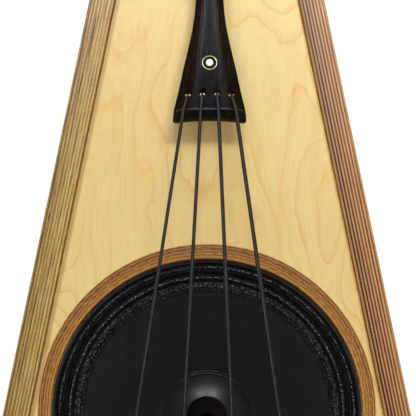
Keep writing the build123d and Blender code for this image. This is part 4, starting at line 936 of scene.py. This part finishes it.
def pegbox_mesh():
    """A copy of the CAD head's mesh, its shared corners joined and its outer discs removed."""
    mesh = NODES["scroll_head"].data.copy()
    mesh.name = "head_core"
    shape = bmesh.new()
    shape.from_mesh(mesh)
    bmesh.ops.remove_doubles(shape, verts=shape.verts[:], dist=0.005 * MM)
    outer_corners = [v for v in shape.verts if abs(v.co.x) > CHEEK_REACH]
    bmesh.ops.delete(shape, geom=outer_corners, context="VERTS")
    bmesh.ops.dissolve_limit(shape, angle_limit=math.radians(0.6), verts=shape.verts[:],
                             edges=shape.edges[:])
    shape.to_mesh(mesh)
    shape.free()
    mesh.materials.clear()
    mesh.materials.append(MATERIALS["neck_maple"])
    return mesh


def ease_edges(obj, width):
    """Round a mesh's sharp edges."""
    ease = obj.modifiers.new("ease", "BEVEL")
    ease.width = width
    ease.segments = 3
    ease.limit_method = "ANGLE"
    ease.angle_limit = math.radians(40)
    ease.use_clamp_overlap = True
    graph = bpy.context.evaluated_depsgraph_get()
    eased = bpy.data.meshes.new_from_object(obj.evaluated_get(graph))
    obj.modifiers.clear()
    obj.data = eased
    eased.shade_smooth()
    eased.set_sharp_from_angle(angle=SHARP_ANGLE)


head_core = bpy.data.objects.new("head_core", pegbox_mesh())
bpy.context.scene.collection.objects.link(head_core)
ease_edges(head_core, 1.1 * MM)
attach(head_core, BODY)
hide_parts("scroll_head")


def volute_radius(share):
    """Outer radius of the volute, from its start at the pegbox's back to its eye."""
    return (35.4 * (1 - share) ** 1.15 + 10.5 * (1 - (1 - share) ** 1.15)) * MM


def volute_reach(share):
    """How far from the scroll's middle the volute stands."""
    return (21.3 + 15.2 * share ** 0.9) * MM


def volute_section(share):
    """The ramp's fluted cross-section, as (distance from the axis, reach) points."""
    outer = volute_radius(share)
    inner = volute_radius(min(1.0, share + 1 / VOLUTE_TURNS)) - 0.4 * MM
    inner = min(inner, outer - 1.0 * MM)
    reach = volute_reach(share)
    land = min(1.5 * MM, 0.25 * (outer - inner))
    hollow = min(2.4 * MM, 0.22 * (outer - inner), reach - 20.6 * MM)
    middle = (outer - land + inner) / 2
    quarter = (outer - land - inner) / 4
    return ((outer, VOLUTE_BASE), (outer, reach - 0.9 * MM),
            (outer - 0.35 * MM, reach - 0.2 * MM), (outer - 0.9 * MM, reach),
            (outer - land, reach - 0.1 * MM), (middle + quarter, reach - 0.75 * hollow),
            (middle, reach - hollow), (middle - quarter, reach - 0.8 * hollow),
            (inner, reach - 0.3 * hollow), (inner, VOLUTE_BASE))


EYE_PROFILE = (  # (distance from the scroll's axis, reach)
    (EYE_RADIUS, VOLUTE_BASE), (EYE_RADIUS, 36.6 * MM), (8.8 * MM, 37.6 * MM),
    (7.2 * MM, 38.0 * MM), (4.0 * MM, 38.0 * MM), (0.02 * MM, 38.0 * MM),
)


def volute(name, side):
    """A fluted ramp that winds in and outwards, and its round eye, on one side of the head."""
    def place(radius, angle, out):
        return (side * out, SCROLL_Y + radius * math.cos(angle),
                SCROLL_Z + radius * math.sin(angle))

    points = []
    for step in range(VOLUTE_STEPS + 1):
        share = step / VOLUTE_STEPS
        angle = VOLUTE_START + share * VOLUTE_TURNS * 2 * math.pi
        points += [place(radius, angle, out) for radius, out in volute_section(share)]
    faces = skin(VOLUTE_STEPS + 1, len(volute_section(0)))
    first = len(points)
    for radius, out in EYE_PROFILE:
        points += [place(radius, 2 * math.pi * k / EYE_STEPS, out) for k in range(EYE_STEPS)]
    eye = skin(len(EYE_PROFILE), EYE_STEPS, capped=False)
    faces += [tuple(first + corner for corner in face) for face in eye]
    if side < 0:
        faces = [face[::-1] for face in faces]
    obj = piece(name, points, faces, MATERIALS["neck_maple"])
    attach(obj, BODY)
    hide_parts("scroll_head")


volute("volute_right", 1)
volute("volute_left", -1)

# ---- Camera ----
AIM = Vector((-0.001, PLATE_Y, 0.504))
CAMERA_PLACE = Vector((-0.001, -2.229, 0.961))
SENSOR_MM = 36.0
LENS_MM = 222.9
camera_data = bpy.data.cameras.new("camera")
camera_data.sensor_width = SENSOR_MM
camera_data.lens = LENS_MM
camera = bpy.data.objects.new("camera", camera_data)
bpy.context.scene.collection.objects.link(camera)
camera.location = CAMERA_PLACE
camera.rotation_mode = "QUATERNION"
upright = (AIM - CAMERA_PLACE).to_track_quat("-Z", "Y")
camera.rotation_quaternion = upright @ Quaternion((0, 0, 1), math.pi)  # held upside down
bpy.context.scene.camera = camera

# ---- Floor: matt under the bass, fading to plain white where it meets the sky ----
FLOOR_LEVEL = -0.0004
FLOOR_SPOKES = 96
FLOOR_RINGS = (0.4, 0.8, 1.2, 1.6, 2.4, 5.0, 12.0)


def floor_material(name):
    """A pale floor that glows white away from the bass, most of all to the camera."""
    shader = Shader(name)
    x, y, _ = shader.split(shader.place)
    fade = shader.ramp(shader.times(shader.length(x, y), 0.5), [(0.08, 0.0), (0.40, 1.0)],
                       smooth=True)
    seen = shader.tree.nodes.new("ShaderNodeLightPath").outputs["Is Camera Ray"]
    glow = shader.times(fade, shader.add(shader.times(seen, 0.75), 0.25))
    return shader.finish(shader.ramp(fade, [(0.0, 0.80), (1.0, 0.0)]), 0.85,
                         Emission_Color=(1.0, 1.0, 1.0), Emission_Strength=glow,
                         Specular_IOR_Level=0.1)


floor_points, floor_faces = [(0, 0, FLOOR_LEVEL)], []
for radius in FLOOR_RINGS:
    for spoke in range(FLOOR_SPOKES):
        angle = 2 * math.pi * spoke / FLOOR_SPOKES
        floor_points.append((radius * math.cos(angle), radius * math.sin(angle), FLOOR_LEVEL))
for k in range(FLOOR_SPOKES):
    j = (k + 1) % FLOOR_SPOKES
    floor_faces.append((0, 1 + k, 1 + j))
    for band in range(len(FLOOR_RINGS) - 1):
        inner, outer = 1 + FLOOR_SPOKES * band, 1 + FLOOR_SPOKES * (band + 1)
        floor_faces.append((inner + k, outer + k, outer + j, inner + j))
floor = piece("studio_floor", floor_points, floor_faces, floor_material("studio_floor"),
              smooth=False)

# ---- Sky: white to the camera, dimmer as a light ----
world = bpy.data.worlds.new("studio")
world.use_nodes = True
bpy.context.scene.world = world
sky = world.node_tree
sky_light = sky.nodes["Background"]
sky_light.inputs["Color"].default_value = (1, 1, 1, 1)
sky_light.inputs["Strength"].default_value = 0.21
sky_seen = sky.nodes.new("ShaderNodeBackground")
sky_seen.inputs["Color"].default_value = (1, 1, 1, 1)
sky_seen.inputs["Strength"].default_value = 1.0
sky_path = sky.nodes.new("ShaderNodeLightPath")
sky_mix = sky.nodes.new("ShaderNodeMixShader")
sky.links.new(sky_path.outputs["Is Camera Ray"], sky_mix.inputs[0])
sky.links.new(sky_light.outputs[0], sky_mix.inputs[1])
sky.links.new(sky_seen.outputs[0], sky_mix.inputs[2])
sky.links.new(sky_mix.outputs[0], sky.nodes["World Output"].inputs["Surface"])


def lamp(name, place, target, size, power, colour=(1.0, 1.0, 1.0)):
    """A rectangular area light, hidden from the camera."""
    data = bpy.data.lights.new(name, "AREA")
    data.shape = "RECTANGLE"
    data.size, data.size_y = size
    data.energy = power
    data.color = colour
    obj = bpy.data.objects.new(name, data)
    bpy.context.scene.collection.objects.link(obj)
    obj.location = place
    obj.rotation_mode = "QUATERNION"
    obj.rotation_quaternion = (Vector(target) - Vector(place)).to_track_quat("-Z", "Y")
    obj.visible_camera = False
    return obj


key = lamp("key", (-0.15, -0.92, 0.05), (0.0, -0.08, 0.42), (0.44, 0.18), 6.2,
           (0.985, 1.0, 0.95))
key.visible_glossy = False
for side, name in ((-1, "sheen_left"), (1, "sheen_right")):
    sheen = lamp(name, (0.15 * side, -0.60, 0.05), (0.0, -0.06, 0.62), (0.12, 0.05), 1.7)
    sheen.visible_diffuse = False
lamp("glint", (0.10, -1.5, 2.9), (0.0, -0.08, 0.68), (0.5, 0.25), 9.0)
warm_fill = lamp("warm_fill", (0.3, -2.3, 1.3), (0.0, -0.08, 0.8), (1.2, 1.2), 15.0,
                 (1.0, 0.73, 0.68))
fill_back = lamp("fill_back", (-1.2, 2.2, 1.8), (0.0, 0.0, 0.9), (1.5, 1.5), 40.0)
fill_side = lamp("fill_side", (2.4, 0.1, 1.4), (0.0, 0.1, 0.9), (1.2, 1.6), 20.0)
for soft in (warm_fill, fill_back, fill_side):
    soft.visible_glossy = False

scene = bpy.context.scene
scene.view_settings.view_transform = "Standard"
scene.view_settings.look = "None"
